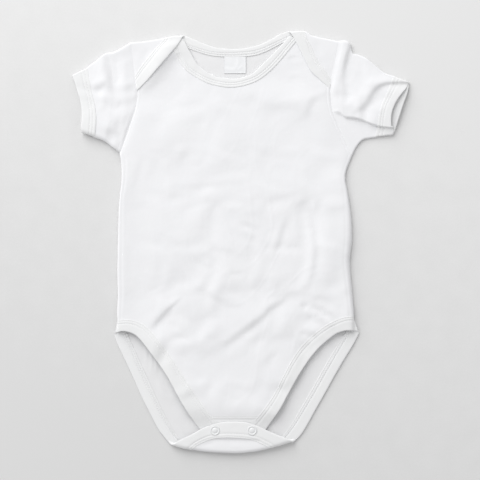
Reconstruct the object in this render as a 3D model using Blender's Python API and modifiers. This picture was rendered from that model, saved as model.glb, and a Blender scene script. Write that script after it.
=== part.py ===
"""Baby bodysuit with short sleeves, lap shoulders and two press studs, laid flat on its back.

Each solid is one piece that is cut and sewn on. A cut piece is a flat pattern, a grid of points
between its sewing lines, that a placing function lays, folds and creases in space.
X runs across the garment and Y up to the neck. Z is up from the surface that the back rests on.
Tables and sizes are in millimetres, and MM turns them into metres where a mesh is made.
"""
import math
from collections import namedtuple

import bmesh
import bpy
import numpy as np
from mathutils import Vector

MM = 0.001

# ---------------------------------------------------------------- driving dimensions
CLOTH = 1.0               # wall of the cotton jersey
BAND = 1.6                # binding strip, folded double round an edge
GAP = 0.3                 # clearance between two pieces at a seam
FOLD_GAP = 1.2            # clearance where a binding and its panel turn over a fold
HEM_GAP = 0.6             # clearance between a sleeve and its hem band
SHOULDER_ROLL = 2.3       # radius of the fold along each shoulder, at the middle of the wall
CROTCH_ROLL = 3.0         # radius of the fold below the crotch tab
SEAM_SLACK = 12.0         # distance in from a side seam over which the front rises
BINDING_RISE = 0.9        # room that the front leaves for a binding of the back under its own
HIP_Y = -50.0             # where that room starts to open towards the leg corners
HIP_REACH = 18.0          # and the distance over which it opens
CROTCH_Y = -178.0         # where the front lies flat under the crotch tab, with no folds left
CROTCH_REACH = 24.0
FLAP_SETTLE = 1.3         # how far a shoulder flap sinks at the armhole seam
FLAP_SETTLE_REACH = 20.0
FLAP_LIFT = 3.4           # how far the left flap's free edge stands up
FLAP_LIFT_X = -74.0       # where it stands highest
FLAP_LIFT_SPREAD = 15.0
FLAP_LIFT_REACH = 30.0
FRONT_TUCK = 0.6          # front's top edge, short of the fold of the shoulder
CROTCH_END = 10.5         # depth of the front's bound crotch end
CROTCH_END_GAP = 0.9
ARMHOLE_GAP_LEFT = 0.7    # clearance between body and sleeve along the armhole
ARMHOLE_GAP_RIGHT = 0.9
HEM_LIP = 4.0             # lower layer of the open right hem, past the upper one
SLEEVE_EDGE = 2.6         # least height of a sleeve over its lower layer
DROP_REACH = 3.0          # distance over which a sleeve's upper layer drops to the lower one
SLEEVE_FADE = 0.12        # share of a sleeve at the armhole over which its folds start
SNAP_RADIUS = 4.7
SNAP_SEGMENTS = 14
LABEL_WIDTH = 21.0
LABEL_CENTRE = -1.0
LABEL_TOP = 180.0
LABEL_FOOT = 164.6
CURVE_STEPS = 12          # readings between two rows of a table when a line is smoothed
WELD = 0.02               # points closer than this are one
FOLD_FADE = 0.25          # share of a fold's length over which each end dies away
POINT_COLUMNS = "x y"


def table(columns, *rows):
    """A short table whose cells are read by the names of its columns."""
    record = namedtuple("Row", columns)
    return [record(*row) for row in rows]


# ---------------------------------------------------------------- sewing lines, seen from above
SHOULDER_TOP = table(
    POINT_COLUMNS,
    (-101.8, 194.0), (-83.4, 195.9), (-68.9, 198.8), (-60.1, 200.5), (-50.4, 200.8),
    (52.4, 204.7), (66.0, 205.2), (73.7, 200.8), (91.2, 196.9), (108.6, 193.5))

CROTCH_FOOT = table(
    POINT_COLUMNS,
    (-66.0, -194.0), (-54.3, -197.9), (-42.7, -200.3), (-30.1, -202.2), (-15.5, -203.2),
    (0.0, -203.7), (13.6, -202.7), (25.2, -200.8), (37.8, -197.4), (53.4, -192.5))

ARMHOLE_LEFT = table(
    POINT_COLUMNS,
    (-112.5, 88.3), (-107.7, 101.8), (-102.8, 115.4), (-98.0, 129.0), (-95.5, 140.7),
    (-96.0, 148.4), (-98.9, 163.9), (-100.9, 179.4), (-101.8, 191.2))

ARMHOLE_RIGHT = table(
    POINT_COLUMNS,
    (112.4, 85.4), (108.2, 94.6), (102.6, 106.0), (97.4, 118.3), (93.1, 128.0),
    (91.2, 136.8), (91.2, 146.5), (94.1, 156.2), (99.9, 167.8), (105.7, 181.4), (107.8, 190.7))

SIDE_LEFT = table(
    POINT_COLUMNS,
    (-114.5, -74.7), (-114.5, -63.0), (-114.0, -50.4), (-114.5, -26.2), (-114.0, -1.9),
    (-113.5, 22.3), (-112.5, 41.7), (-110.6, 59.2), (-110.6, 74.7))

SIDE_RIGHT = table(
    POINT_COLUMNS,
    (114.5, -70.8), (113.2, -60.0), (112.2, -46.5), (110.9, -33.0), (109.9, -18.0),
    (110.9, -7.5), (112.1, 3.4), (111.7, 19.0), (110.3, 33.0), (107.8, 49.0), (105.6, 62.0),
    (107.2, 72.3))

# A binding lies between the line where it is sewn on (inner) and its free edge.
BINDING_COLUMNS = "inner_x inner_y edge_x edge_y"

FRONT_NECK = table(
    BINDING_COLUMNS,
    (-62.0, 191.6, -49.4, 194.6), (-56.3, 177.5, -44.6, 185.3), (-46.6, 165.9, -35.9, 171.7),
    (-30.0, 156.0, -21.0, 161.8), (-15.5, 151.8, -10.7, 160.0), (-3.9, 150.8, -1.0, 159.2),
    (8.7, 152.8, 8.0, 161.0), (21.3, 157.6, 17.0, 165.0), (33.0, 166.4, 25.2, 172.7),
    (42.7, 176.5, 35.9, 183.3), (51.5, 187.0, 44.6, 192.6), (60.4, 198.2, 51.4, 200.2))

BACK_NECK = table(
    BINDING_COLUMNS,
    (-67.0, 196.6, -50.0, 202.4), (-58.2, 194.0, -44.6, 198.8), (-48.5, 189.6, -37.5, 195.8),
    (-36.9, 185.3, -28.0, 192.0), (-25.2, 181.9, -19.0, 189.2), (-10.7, 180.4, -8.7, 188.2),
    (3.9, 180.4, 3.9, 188.2), (18.4, 182.0, 15.5, 190.1), (30.1, 186.0, 26.2, 193.5),
    (40.7, 191.6, 35.9, 198.4), (52.4, 197.6, 43.4, 203.0), (65.0, 202.4, 51.0, 206.6))

# Free edges of the shoulder flaps, from the armhole to the neck point, as they lie folded.
FLAP_LEFT = table(
    BINDING_COLUMNS,
    (-97.4, 160.5, -95.7, 147.4), (-90.2, 168.8, -86.3, 154.2), (-83.4, 177.5, -74.0, 165.2),
    (-75.7, 187.2, -62.0, 182.4), (-70.0, 194.4, -54.6, 194.2))

FLAP_RIGHT = table(
    BINDING_COLUMNS,
    (94.4, 159.1, 91.6, 149.3), (85.4, 168.8, 79.5, 160.0), (77.6, 180.4, 67.6, 176.6),
    (71.8, 193.0, 59.6, 192.2), (68.6, 199.4, 55.6, 199.8))

FRONT_LEG_LEFT = table(
    BINDING_COLUMNS,
    (-114.5, -74.7, -117.4, -87.3), (-102.8, -74.2, -108.6, -85.3), (-92.1, -77.6, -98.0, -88.6),
    (-83.4, -84.4, -90.6, -95.8), (-73.7, -96.0, -82.5, -106.4), (-64.0, -108.6, -73.7, -118.3),
    (-54.3, -124.2, -65.0, -131.6), (-44.6, -138.7, -56.4, -147.6), (-34.9, -153.3, -47.6, -162.6),
    (-24.6, -167.6, -36.0, -179.2), (-14.0, -181.0, -27.5, -191.5))

FRONT_LEG_RIGHT = table(
    BINDING_COLUMNS,
    (113.5, -70.8, 118.3, -85.4), (105.7, -71.3, 107.6, -84.6), (96.0, -74.7, 97.6, -87.4),
    (86.3, -80.0, 88.6, -94.0), (75.0, -88.6, 79.0, -102.6), (62.6, -101.0, 69.4, -114.6),
    (53.4, -114.5, 60.1, -129.0), (44.6, -131.0, 51.0, -145.2), (36.4, -147.0, 42.4, -161.0),
    (25.2, -163.0, 32.0, -176.2), (10.0, -181.0, 22.0, -191.5))

BACK_LEG_LEFT = table(
    BINDING_COLUMNS,
    (-114.5, -75.7, -117.8, -89.6), (-108.6, -82.6, -114.6, -98.4), (-101.0, -97.8, -108.6, -111.2),
    (-92.6, -116.4, -99.8, -130.0), (-84.6, -134.0, -91.2, -149.4), (-76.4, -151.8, -83.0, -165.8),
    (-67.6, -169.8, -75.0, -181.4), (-57.6, -186.6, -69.4, -190.4), (-48.6, -195.6, -66.6, -193.2))

BACK_LEG_RIGHT = table(
    BINDING_COLUMNS,
    (113.5, -71.8, 119.3, -87.3), (107.4, -84.4, 113.6, -98.6), (98.6, -98.6, 104.6, -113.2),
    (89.4, -113.8, 95.4, -129.0), (80.4, -129.6, 86.6, -145.0), (71.6, -145.4, 77.6, -160.8),
    (62.0, -162.0, 69.0, -177.0), (52.0, -178.6, 61.6, -187.0), (41.0, -191.4, 54.4, -191.2))

# The crotch tab as it lies folded up over the front.
TAB = table(
    BINDING_COLUMNS,
    (-38.6, -196.8, -54.4, -190.8), (-30.6, -192.6, -43.6, -185.8), (-22.4, -189.8, -31.4, -179.0),
    (-13.0, -188.7, -17.6, -174.4), (-3.9, -188.6, -3.9, -173.1), (6.4, -189.2, 9.6, -173.8),
    (16.6, -191.2, 22.6, -178.0), (24.6, -194.6, 34.2, -183.4), (31.4, -197.6, 44.0, -188.4))

# Sleeves: the two folded edges between armhole and hem, and the two lines of each hem band.
SLEEVE_LEFT_TOP = table(
    POINT_COLUMNS,
    (-101.8, 194.0), (-111.5, 188.2), (-119.0, 184.6), (-127.1, 182.8), (-135.0, 176.5),
    (-143.6, 169.8))
SLEEVE_LEFT_FOOT = table(
    POINT_COLUMNS,
    (-112.5, 88.3), (-119.3, 93.1), (-127.1, 98.9), (-136.8, 102.8))
HEM_LEFT = table(
    BINDING_COLUMNS,
    (-143.6, 169.8, -159.1, 162.5), (-142.1, 158.1, -156.2, 155.2), (-139.7, 146.5, -153.3, 145.5),
    (-136.8, 134.8, -150.3, 134.8), (-135.3, 122.2, -149.4, 123.2), (-135.8, 111.5, -149.9, 113.5),
    (-136.8, 102.8, -149.4, 106.7))
SLEEVE_RIGHT_TOP = table(
    POINT_COLUMNS,
    (108.6, 193.5), (111.5, 186.3), (116.4, 182.4), (123.2, 181.3), (133.9, 173.6),
    (143.4, 165.4), (152.3, 161.5))
SLEEVE_RIGHT_FOOT = table(
    POINT_COLUMNS,
    (112.4, 85.4), (116.8, 94.0), (123.6, 100.8), (134.8, 102.8))
HEM_RIGHT = table(
    BINDING_COLUMNS,
    (152.3, 161.5, 167.2, 156.4), (146.5, 146.5, 162.2, 146.0), (141.6, 135.8, 157.4, 137.0),
    (138.7, 125.1, 153.8, 127.0), (136.8, 112.5, 151.8, 115.0), (134.8, 102.8, 152.3, 104.8))

# ---------------------------------------------------------------- folds and heights
# A fold runs from one end to the other, bowed sideways; rise is negative for a trough.
FOLD_COLUMNS = "x1 y1 x2 y2 bow width rise"

FRONT_FOLDS = table(
    FOLD_COLUMNS,
    (-50.0, -51.0, -84.0, -84.0, 2.0, 6.0, -2.4),       # short sharp crease by the left leg
    (-56.0, -44.0, -92.0, -76.0, 2.0, 7.0, 1.2),        # its lip
    (43.0, -59.0, -46.0, -117.0, -4.0, 9.0, -2.4),      # long crease across the lower front
    (30.0, -82.0, -36.0, -126.0, -4.0, 14.0, 1.0),
    (-70.0, 54.0, 24.0, 62.0, 3.0, 7.0, -0.7),          # pressed line across the chest
    (-96.0, 88.0, -106.0, 46.0, -2.0, 6.0, 1.2),        # drag lines below the left underarm
    (-84.0, 86.0, -99.0, 49.0, -2.0, 6.0, -1.1),
    (52.0, 32.0, 34.0, -24.0, 2.0, 7.0, -1.1),          # upright folds on the right
    (60.0, 30.0, 61.0, 2.0, 0.0, 5.0, 0.9),
    (65.0, 42.0, 68.0, -48.0, 8.0, 7.0, -1.3),
    (92.0, 32.0, 92.0, -46.0, 0.0, 12.0, 0.9),
    (-45.0, -13.0, 8.0, -61.0, -10.0, 8.0, -0.7),       # bowl-shaped sag in the middle
    (74.0, -46.0, 92.0, -55.0, 0.0, 7.0, -0.9),
    (91.0, 150.0, 69.0, 141.0, 2.0, 6.0, 0.9),          # pull from the right armhole
    (80.0, 147.0, 68.0, 119.0, -2.0, 6.0, -0.8),
    (-112.0, -84.0, -74.0, -116.0, 9.0, 15.0, 2.6),     # leg openings that stand up
    (112.0, -82.0, 62.0, -124.0, -8.0, 15.0, 2.2),
    (-54.0, -140.0, -36.0, -168.0, 0.0, 12.0, 0.8),
    (50.0, -138.0, 34.0, -166.0, 0.0, 12.0, 1.2))

FRONT_RISE = table(
    "y rise",
    (-190.0, 0.0), (-177.0, 0.1), (-165.0, 1.1), (-145.0, 2.0), (-100.0, 2.3), (-40.0, 2.4),
    (40.0, 2.1), (110.0, 1.5), (150.0, 0.6), (175.0, 0.1), (200.0, 0.0))

SLEEVE_LEFT_FOLDS = table(
    FOLD_COLUMNS,
    (-124.0, 182.0, -116.0, 130.0, 2.0, 6.0, -1.4),     # trough from the shoulder edge
    (-129.0, 109.0, -100.0, 131.0, 3.0, 6.0, 1.3),      # ridge to the underarm
    (-122.0, 129.0, -105.0, 131.0, 0.0, 4.0, -0.9),
    (-108.0, 178.0, -107.0, 140.0, 0.0, 6.0, 0.6))

SLEEVE_RIGHT_FOLDS = table(
    FOLD_COLUMNS,
    (112.0, 190.0, 104.0, 143.0, 3.0, 4.5, -1.9),       # trough beside the armhole pleat
    (103.0, 182.0, 95.0, 150.0, 2.0, 4.0, 0.8),
    (164.0, 155.0, 112.0, 121.0, -13.0, 4.5, -2.2),     # arc-shaped fold over the sleeve
    (160.0, 159.5, 112.0, 131.0, -12.0, 5.0, 1.4),
    (150.0, 116.0, 104.0, 126.0, 0.0, 7.0, 0.9))

# Height of each sleeve at steps from the armhole to the hem: over the upper layer's top edge,
# its middle and its foot. Below the drop, at that share of the way round, the cloth lies low.
HEIGHT_COLUMNS = "along top middle foot drop low"

SLEEVE_LEFT_HEIGHTS = table(
    HEIGHT_COLUMNS,
    (0.0, 5.4, 3.2, 2.6, 0.70, 2.6), (0.25, 5.2, 4.6, 4.0, 0.70, 3.4),
    (0.6, 5.0, 5.0, 4.6, 0.70, 4.0), (1.0, 4.6, 4.8, 4.6, 0.70, 4.2))

SLEEVE_RIGHT_HEIGHTS = table(
    HEIGHT_COLUMNS,
    (0.0, 5.4, 4.0, 3.2, 0.61, 2.6), (0.25, 5.4, 5.0, 5.4, 0.67, 2.7),
    (0.6, 5.2, 5.6, 6.0, 0.75, 2.7), (1.0, 5.2, 6.0, 5.8, 0.83, 2.8))

HEM_LEFT_HEIGHTS = table(
    HEIGHT_COLUMNS,
    (0.0, 5.0, 5.2, 5.0, 0.70, 4.6), (1.0, 4.6, 5.0, 4.8, 0.70, 4.4))

HEM_RIGHT_HEIGHTS = table(
    HEIGHT_COLUMNS,
    (0.0, 5.6, 6.4, 6.2, 0.83, 3.8), (1.0, 5.8, 7.0, 6.6, 0.88, 3.8))

# ---------------------------------------------------------------- lines and grids


def points(rows, prefix=""):
    """The x and y columns of a table, with a prefix such as inner_ or edge_."""
    return np.array([(getattr(row, prefix + "x"), getattr(row, prefix + "y")) for row in rows])


def smooth(knots, spans):
    """A smooth line through the knots, read at even steps along its length."""
    knots = np.asarray(knots, float)
    lead = 2 * knots[0] - knots[1]
    tail = 2 * knots[-1] - knots[-2]
    knots = np.vstack([lead, knots, tail])
    fine = [knots[1]]
    for before, start, end, after in zip(knots, knots[1:], knots[2:], knots[3:]):
        for t in np.linspace(0, 1, CURVE_STEPS + 1)[1:]:
            slope = (end - before) * t
            swing = (2 * before - 5 * start + 4 * end - after) * t ** 2
            turn = (3 * start - before - 3 * end + after) * t ** 3
            fine.append(0.5 * (2 * start + slope + swing + turn))
    fine = np.array(fine)
    run = np.concatenate([[0], np.cumsum(np.linalg.norm(np.diff(fine, axis=0), axis=1))])
    steps = np.linspace(0, run[-1], spans + 1)
    return np.column_stack([np.interp(steps, run, fine[:, axis]) for axis in range(fine.shape[1])])


def joined(*lines):
    """Lines put end to end, each starting where the one before it stops."""
    return np.vstack([lines[0]] + [line[1:] for line in lines[1:]])


def patch(left, right, bottom, top):
    """A grid between four sides: rows run from bottom to top, columns from left to right."""
    v = np.linspace(0, 1, len(left))[:, None, None]
    u = np.linspace(0, 1, len(bottom))[None, :, None]
    upright = (1 - v) * bottom[None] + v * top[None]
    across = (1 - u) * left[:, None] + u * right[:, None]
    foot = (1 - u) * bottom[0] + u * bottom[-1]
    head = (1 - u) * top[0] + u * top[-1]
    return upright + across - (1 - v) * foot - v * head


def ease(value):
    """0 below 0, 1 above 1 and a smooth step between."""
    value = min(1.0, max(0.0, value))
    return value * value * (3 - 2 * value)


def along(rows, key, column, value):
    """A table read between its rows."""
    keys = [getattr(row, key) for row in rows]
    cells = [getattr(row, column) for row in rows]
    return float(np.interp(value, keys, cells))


def folds(rows, x, y):
    """Sum of the ridges and troughs of a fold table at a point."""
    total = 0.0
    for fold in rows:
        run_x = fold.x2 - fold.x1
        run_y = fold.y2 - fold.y1
        length = math.hypot(run_x, run_y)
        share = ((x - fold.x1) * run_x + (y - fold.y1) * run_y) / length ** 2
        if not 0 < share < 1:
            continue
        aside = ((y - fold.y1) * run_x - (x - fold.x1) * run_y) / length
        aside -= fold.bow * 4 * share * (1 - share)
        fade = ease(share / FOLD_FADE) * ease((1 - share) / FOLD_FADE)
        total += fold.rise * fade * math.exp(-(aside / fold.width) ** 2)
    return total


# ---------------------------------------------------------------- placing the cut pieces
OUTLINE_LEFT = SIDE_LEFT + ARMHOLE_LEFT
OUTLINE_RIGHT = SIDE_RIGHT + ARMHOLE_RIGHT


def from_side(x, y):
    """Distance in from the nearer side seam or armhole."""
    left = along(OUTLINE_LEFT, "y", "x", y)
    right = along(OUTLINE_RIGHT, "y", "x", y)
    return max(0.0, min(x - left, right - x))


def slack(x, y):
    """0 at a side seam, rising to 1 where the front is free of the back."""
    return 1 - math.exp(-from_side(x, y) / SEAM_SLACK)


def front_height(x, y):
    """Height of the middle of the front's wall."""
    at_leg = ease((HIP_Y - y) / HIP_REACH)
    seam = CLOTH + GAP + CLOTH / 2 + BINDING_RISE * at_leg
    free = BINDING_RISE * (1 - at_leg) + along(FRONT_RISE, "y", "rise", y)
    creased = ease((y - CROTCH_Y) / CROTCH_REACH) * folds(FRONT_FOLDS, x, y)
    return seam + slack(x, y) * (free + creased)


def front_place(x, y, h=0.0):
    """A point of the front pattern in space, h above the middle of the wall."""
    return (x, y, front_height(x, y) + h)


def shoulder_line(x):
    """Where the back starts to fold over at the shoulder."""
    return along(SHOULDER_TOP, "x", "y", x) - SHOULDER_ROLL - CLOTH / 2


def crotch_line(x):
    """Where the back starts to fold up into the crotch tab."""
    return along(CROTCH_FOOT, "x", "y", x) + CROTCH_ROLL + CLOTH / 2


def rolled(line, run, h, radius, way):
    """Y and Z of a point that lies run past a fold line, on the roll or on the layer above."""
    half_turn = math.pi * radius
    if run < half_turn:
        angle = run / radius
        reach = radius - h
        return line + way * reach * math.sin(angle), radius - reach * math.cos(angle)
    return line - way * (run - half_turn), 2 * radius - h


def flap_height(x, y):
    """How far a shoulder flap stands above, or lies below, the top of its fold."""
    from_fold = shoulder_line(x) - y
    if from_fold <= 0:
        return 0.0
    settle = FLAP_SETTLE * (1 - slack(x, y)) * ease(from_fold / FLAP_SETTLE_REACH)
    bulge = math.exp(-((x - FLAP_LIFT_X) / FLAP_LIFT_SPREAD) ** 2)
    return FLAP_LIFT * bulge * ease(from_fold / FLAP_LIFT_REACH) - settle


def back_place(x, y, h=0.0):
    """A point of the back pattern in space: flat, or folded at a shoulder or at the crotch."""
    line = shoulder_line(x)
    if y > line:
        y, z = rolled(line, y - line, h, SHOULDER_ROLL, 1)
        return (x, y, CLOTH / 2 + z + flap_height(x, y))
    line = crotch_line(x)
    if y < line:
        y, z = rolled(line, line - y, h, CROTCH_ROLL, -1)
        return (x, y, CLOTH / 2 + z)
    return (x, y, CLOTH / 2 + h)


def unfold_shoulder(knots):
    """Points of a flap as it lies folded, taken back to the flat pattern."""
    flat = []
    for x, y in knots:
        line = shoulder_line(x)
        over = min(1.0, max(0.0, (y - line) / SHOULDER_ROLL))
        run = math.pi * SHOULDER_ROLL - SHOULDER_ROLL * math.asin(over) + max(0.0, line - y)
        flat.append((x, line + run))
    return flat


def unfold_tab(knots):
    """Points of the crotch tab as it lies folded, taken back to the flat pattern."""
    flat = []
    for x, y in knots:
        line = crotch_line(x)
        over = min(1.0, max(0.0, (line - y) / CROTCH_ROLL))
        run = math.pi * CROTCH_ROLL - CROTCH_ROLL * math.asin(over) + max(0.0, y - line)
        flat.append((x, line - run))
    return flat


# ---------------------------------------------------------------- making the solids


def cotton(name, color, roughness, metallic=0.0):
    """A plain material for a piece."""
    material = bpy.data.materials.new(name)
    material.use_nodes = True
    shader = material.node_tree.nodes["Principled BSDF"]
    shader.inputs["Base Color"].default_value = (*color, 1.0)
    shader.inputs["Roughness"].default_value = roughness
    shader.inputs["Metallic"].default_value = metallic
    return material


def finished(name, mesh_data, material, collection):
    """Turns a bmesh into a named object with its faces pointing out."""
    bmesh.ops.recalc_face_normals(mesh_data, faces=mesh_data.faces)
    if mesh_data.calc_volume(signed=True) < 0:
        bmesh.ops.reverse_faces(mesh_data, faces=mesh_data.faces)
    mesh = bpy.data.meshes.new(name)
    mesh_data.to_mesh(mesh)
    mesh_data.free()
    mesh.materials.append(material)
    mesh.shade_smooth()
    piece = bpy.data.objects.new(name, mesh)
    collection.objects.link(piece)
    return piece


def sheet(name, grids, place, material, collection, lift=0.0):
    """A cut piece: grids of pattern points put in place, joined, and given the cloth's wall."""
    surface = bmesh.new()
    for grid in grids:
        corners = [[surface.verts.new(Vector(place(x, y, lift)) * MM) for x, y in row] for row in grid]
        for low, high in zip(corners, corners[1:]):
            for a, b, c, d in zip(low, low[1:], high[1:], high):
                surface.faces.new((a, b, c, d))
    bmesh.ops.remove_doubles(surface, verts=surface.verts, dist=WELD * MM)
    piece = finished(name, surface, material, collection)
    wall = piece.modifiers.new("Wall", "SOLIDIFY")
    wall.thickness = CLOTH * MM
    wall.offset = 0.0
    return piece


def loft(name, rings, material, collection):
    """A closed solid through rings of points, capped at both ends."""
    solid = bmesh.new()
    loops = [[solid.verts.new(Vector(point) * MM) for point in ring] for ring in rings]
    count = len(loops[0])
    for near, far in zip(loops, loops[1:]):
        for k in range(count):
            solid.faces.new((near[k], near[(k + 1) % count], far[(k + 1) % count], far[k]))
    solid.faces.new(loops[0])
    solid.faces.new(reversed(loops[-1]))
    return finished(name, solid, material, collection)


def band_section(width, spans):
    """Section of a binding: square where it is sewn on, half round at its free edge."""
    half = BAND / 2
    start = GAP if spans == FLAT_SPANS else FOLD_GAP
    reaches = np.linspace(start, width - half, spans + 1)
    section = [(reach, -half) for reach in reaches]
    for angle in (-math.pi / 4, 0, math.pi / 4):
        section.append((width - half + half * math.cos(angle), half * math.sin(angle)))
    return section + [(reach, half) for reach in reaches[::-1]]


def binding(name, inner, edge, place, sit, spans, material, collection):
    """A binding strip swept between the line where it is sewn on and its free edge."""
    rings = []
    for start, end in zip(inner, edge):
        width = float(np.linalg.norm(end - start))
        ring = []
        for reach, up in band_section(width, spans):
            x, y = start + (end - start) * reach / width
            ring.append(place(x, y, sit(x, y) + up))
        rings.append(ring)
    return loft(name, rings, material, collection)


def flush(x, y):
    """Centre of a back binding over the middle of the wall: its underside meets the surface."""
    past = max(y - shoulder_line(x), crotch_line(x) - y, 0.0)
    return (BAND - CLOTH) / 2 * (1 - ease(past / (math.pi * SHOULDER_ROLL)))


def centred(_x, _y):
    """Centre of a front binding: the middle of the wall."""
    return 0.0


def trimmed(line, start, end):
    """A line shortened at its two ends, along its first and last span."""
    line = np.array(line)
    first = line[1] - line[0]
    last = line[-2] - line[-1]
    line[0] += first / np.linalg.norm(first) * start
    line[-1] += last / np.linalg.norm(last) * end
    return line


SLEEVE_SIZES = ("top", "middle", "foot", "drop", "low")
ABOVE_DROP = 8            # points of a ring over the upper layer
BELOW_DROP = 4            # and past its drop
HALF_TURN = (math.pi / 4, math.pi / 2, 3 * math.pi / 4)


def tube(name, grid, heights, fold_rows, wall, shift, under, material, collection):
    """A flattened sleeve or hem: rings that go over the upper layer and back under it.

    The grid's rows go from armhole to hem and its columns from the top fold to the foot.
    At its last row the lower layer reaches further out than the upper one, by under.
    """
    rings = []
    steps = len(grid) - 1
    for index, row in enumerate(grid):
        reach = index / steps
        run = np.concatenate([[0], np.cumsum(np.linalg.norm(np.diff(row, axis=0), axis=1))])
        length = run[-1]
        sizes = {key: along(heights, "along", key, reach) for key in SLEEVE_SIZES}
        brow = sizes["drop"] * length

        def plan(distance):
            return [float(np.interp(distance, run, row[:, axis])) for axis in (0, 1)]

        def roof(distance):
            x, y = plan(distance)
            share = min(1.0, distance / brow)
            high = float(np.interp(share, (0, 0.5, 1), (sizes["top"], sizes["middle"], sizes["foot"])))
            high += folds(fold_rows, x, y) * ease(reach / SLEEVE_FADE)
            return high + (sizes["low"] - high) * ease((distance - brow) / DROP_REACH + 0.5)

        top_radius = roof(DROP_REACH) / 2
        foot_radius = roof(length - DROP_REACH) / 2
        above = np.linspace(top_radius, brow - DROP_REACH / 2, ABOVE_DROP)
        below = np.linspace(brow + DROP_REACH / 2, length - foot_radius, BELOW_DROP)
        upper = [*above, *below]
        ring = [(*plan(d), max(roof(d), SLEEVE_EDGE)) for d in upper]
        for swing in HALF_TURN:
            d = length - foot_radius + foot_radius * math.sin(swing)
            ring.append((*plan(d), foot_radius * (1 + math.cos(swing))))
        ring += [(*plan(d), 0.0) for d in reversed(upper)]
        for swing in HALF_TURN:
            d = top_radius - top_radius * math.sin(swing)
            ring.append((*plan(d), top_radius * (1 - math.cos(swing))))
        tallest = max(z for _x, _y, z in ring)
        rings.append([(x + shift + under * reach * (1 - z / tallest), y, z) for x, y, z in ring])
    surface = bmesh.new()
    loops = [[surface.verts.new(Vector(point) * MM) for point in ring] for ring in rings]
    count = len(loops[0])
    for near, far in zip(loops, loops[1:]):
        for k in range(count):
            surface.faces.new((near[k], near[(k + 1) % count], far[(k + 1) % count], far[k]))
    piece = finished(name, surface, material, collection)
    solid = piece.modifiers.new("Wall", "SOLIDIFY")
    solid.thickness = wall * MM
    solid.offset = -1.0
    solid.use_even_offset = True
    return piece


def turned(name, profile, centre, foot, material, collection):
    """A round piece: a profile of radius and height, from the axis at the top to the axis below."""
    outline = bmesh.new()
    verts = [outline.verts.new((radius * MM, 0, height * MM)) for radius, height in profile]
    for upper, lower in zip(verts, verts[1:]):
        outline.edges.new((upper, lower))
    mesh = bpy.data.meshes.new(name)
    outline.to_mesh(mesh)
    outline.free()
    mesh.materials.append(material)
    piece = bpy.data.objects.new(name, mesh)
    piece.location = (centre[0] * MM, centre[1] * MM, foot * MM)
    collection.objects.link(piece)
    spin = piece.modifiers.new("Spin", "SCREW")
    spin.steps = SNAP_SEGMENTS
    spin.render_steps = SNAP_SEGMENTS
    spin.use_merge_vertices = True
    spin.merge_threshold = WELD * MM
    return piece


# ---------------------------------------------------------------- the garment
FRONT_SIDE_SPANS = 15
BACK_SIDE_SPANS = 9
ARMHOLE_SPANS = 10
FLAT_SPANS = 1            # spans across a binding that lies flat
FOLDED_SPANS = 4          # and across one that goes over a fold
LEG_SPANS = 12
CROTCH_SPANS = 4
FRONT_SHOULDER_SPANS = 4
FRONT_NECK_SPANS = 20
BACK_SHOULDER_SPANS = 6
TAB_SPANS = 12
BACK_NECK_SPANS = 2 * LEG_SPANS + TAB_SPANS - 2 * BACK_SHOULDER_SPANS
FLAP_ROWS = 8
FLAP_POWER = 1.6          # above 1, rows lie closer together over a fold
TAB_ROWS = 6
TAB_POWER = 1.2
SLEEVE_ROWS = 9
SLEEVE_COLUMNS = 12
HEM_ROWS = 2


def side_line(side, armhole, top, foot, spans):
    """The side of a body piece from the leg opening up to the shoulder."""
    seam = smooth(np.vstack([foot, points(side)[1:], points(armhole)[:1]]), spans)
    arm = smooth(np.vstack([points(armhole)[:-1], top]), ARMHOLE_SPANS)
    return joined(seam, arm)


def front_grid():
    """The front pattern between side seams, armholes, neck and leg bindings."""
    leg_left = smooth(points(FRONT_LEG_LEFT, "inner_"), LEG_SPANS)
    leg_right = smooth(points(FRONT_LEG_RIGHT, "inner_"), LEG_SPANS)[::-1]
    crotch = np.linspace(leg_left[-1], leg_right[0], CROTCH_SPANS + 1)
    neck = smooth(points(FRONT_NECK, "inner_"), FRONT_NECK_SPANS)
    top_left = points(ARMHOLE_LEFT)[-1]
    top_right = points(ARMHOLE_RIGHT)[-1]
    top_left[1] = shoulder_line(top_left[0]) - FRONT_TUCK
    top_right[1] = shoulder_line(top_right[0]) - FRONT_TUCK
    shoulder_left = np.linspace(top_left, neck[0], FRONT_SHOULDER_SPANS + 1)
    shoulder_right = np.linspace(neck[-1], top_right, FRONT_SHOULDER_SPANS + 1)
    left = side_line(SIDE_LEFT, ARMHOLE_LEFT, top_left, leg_left[0], FRONT_SIDE_SPANS)
    right = side_line(SIDE_RIGHT, ARMHOLE_RIGHT, top_right, leg_right[-1], FRONT_SIDE_SPANS)
    bottom = joined(leg_left, crotch, leg_right)
    top = joined(shoulder_left, neck, shoulder_right)
    return patch(left, right, bottom, top)


def spread(start, end, rows, power):
    """A grid from one line to another, with its rows closer together near the first."""
    shares = (np.arange(rows + 1) / rows) ** power
    return np.array([start + (end - start) * share for share in shares])


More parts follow.
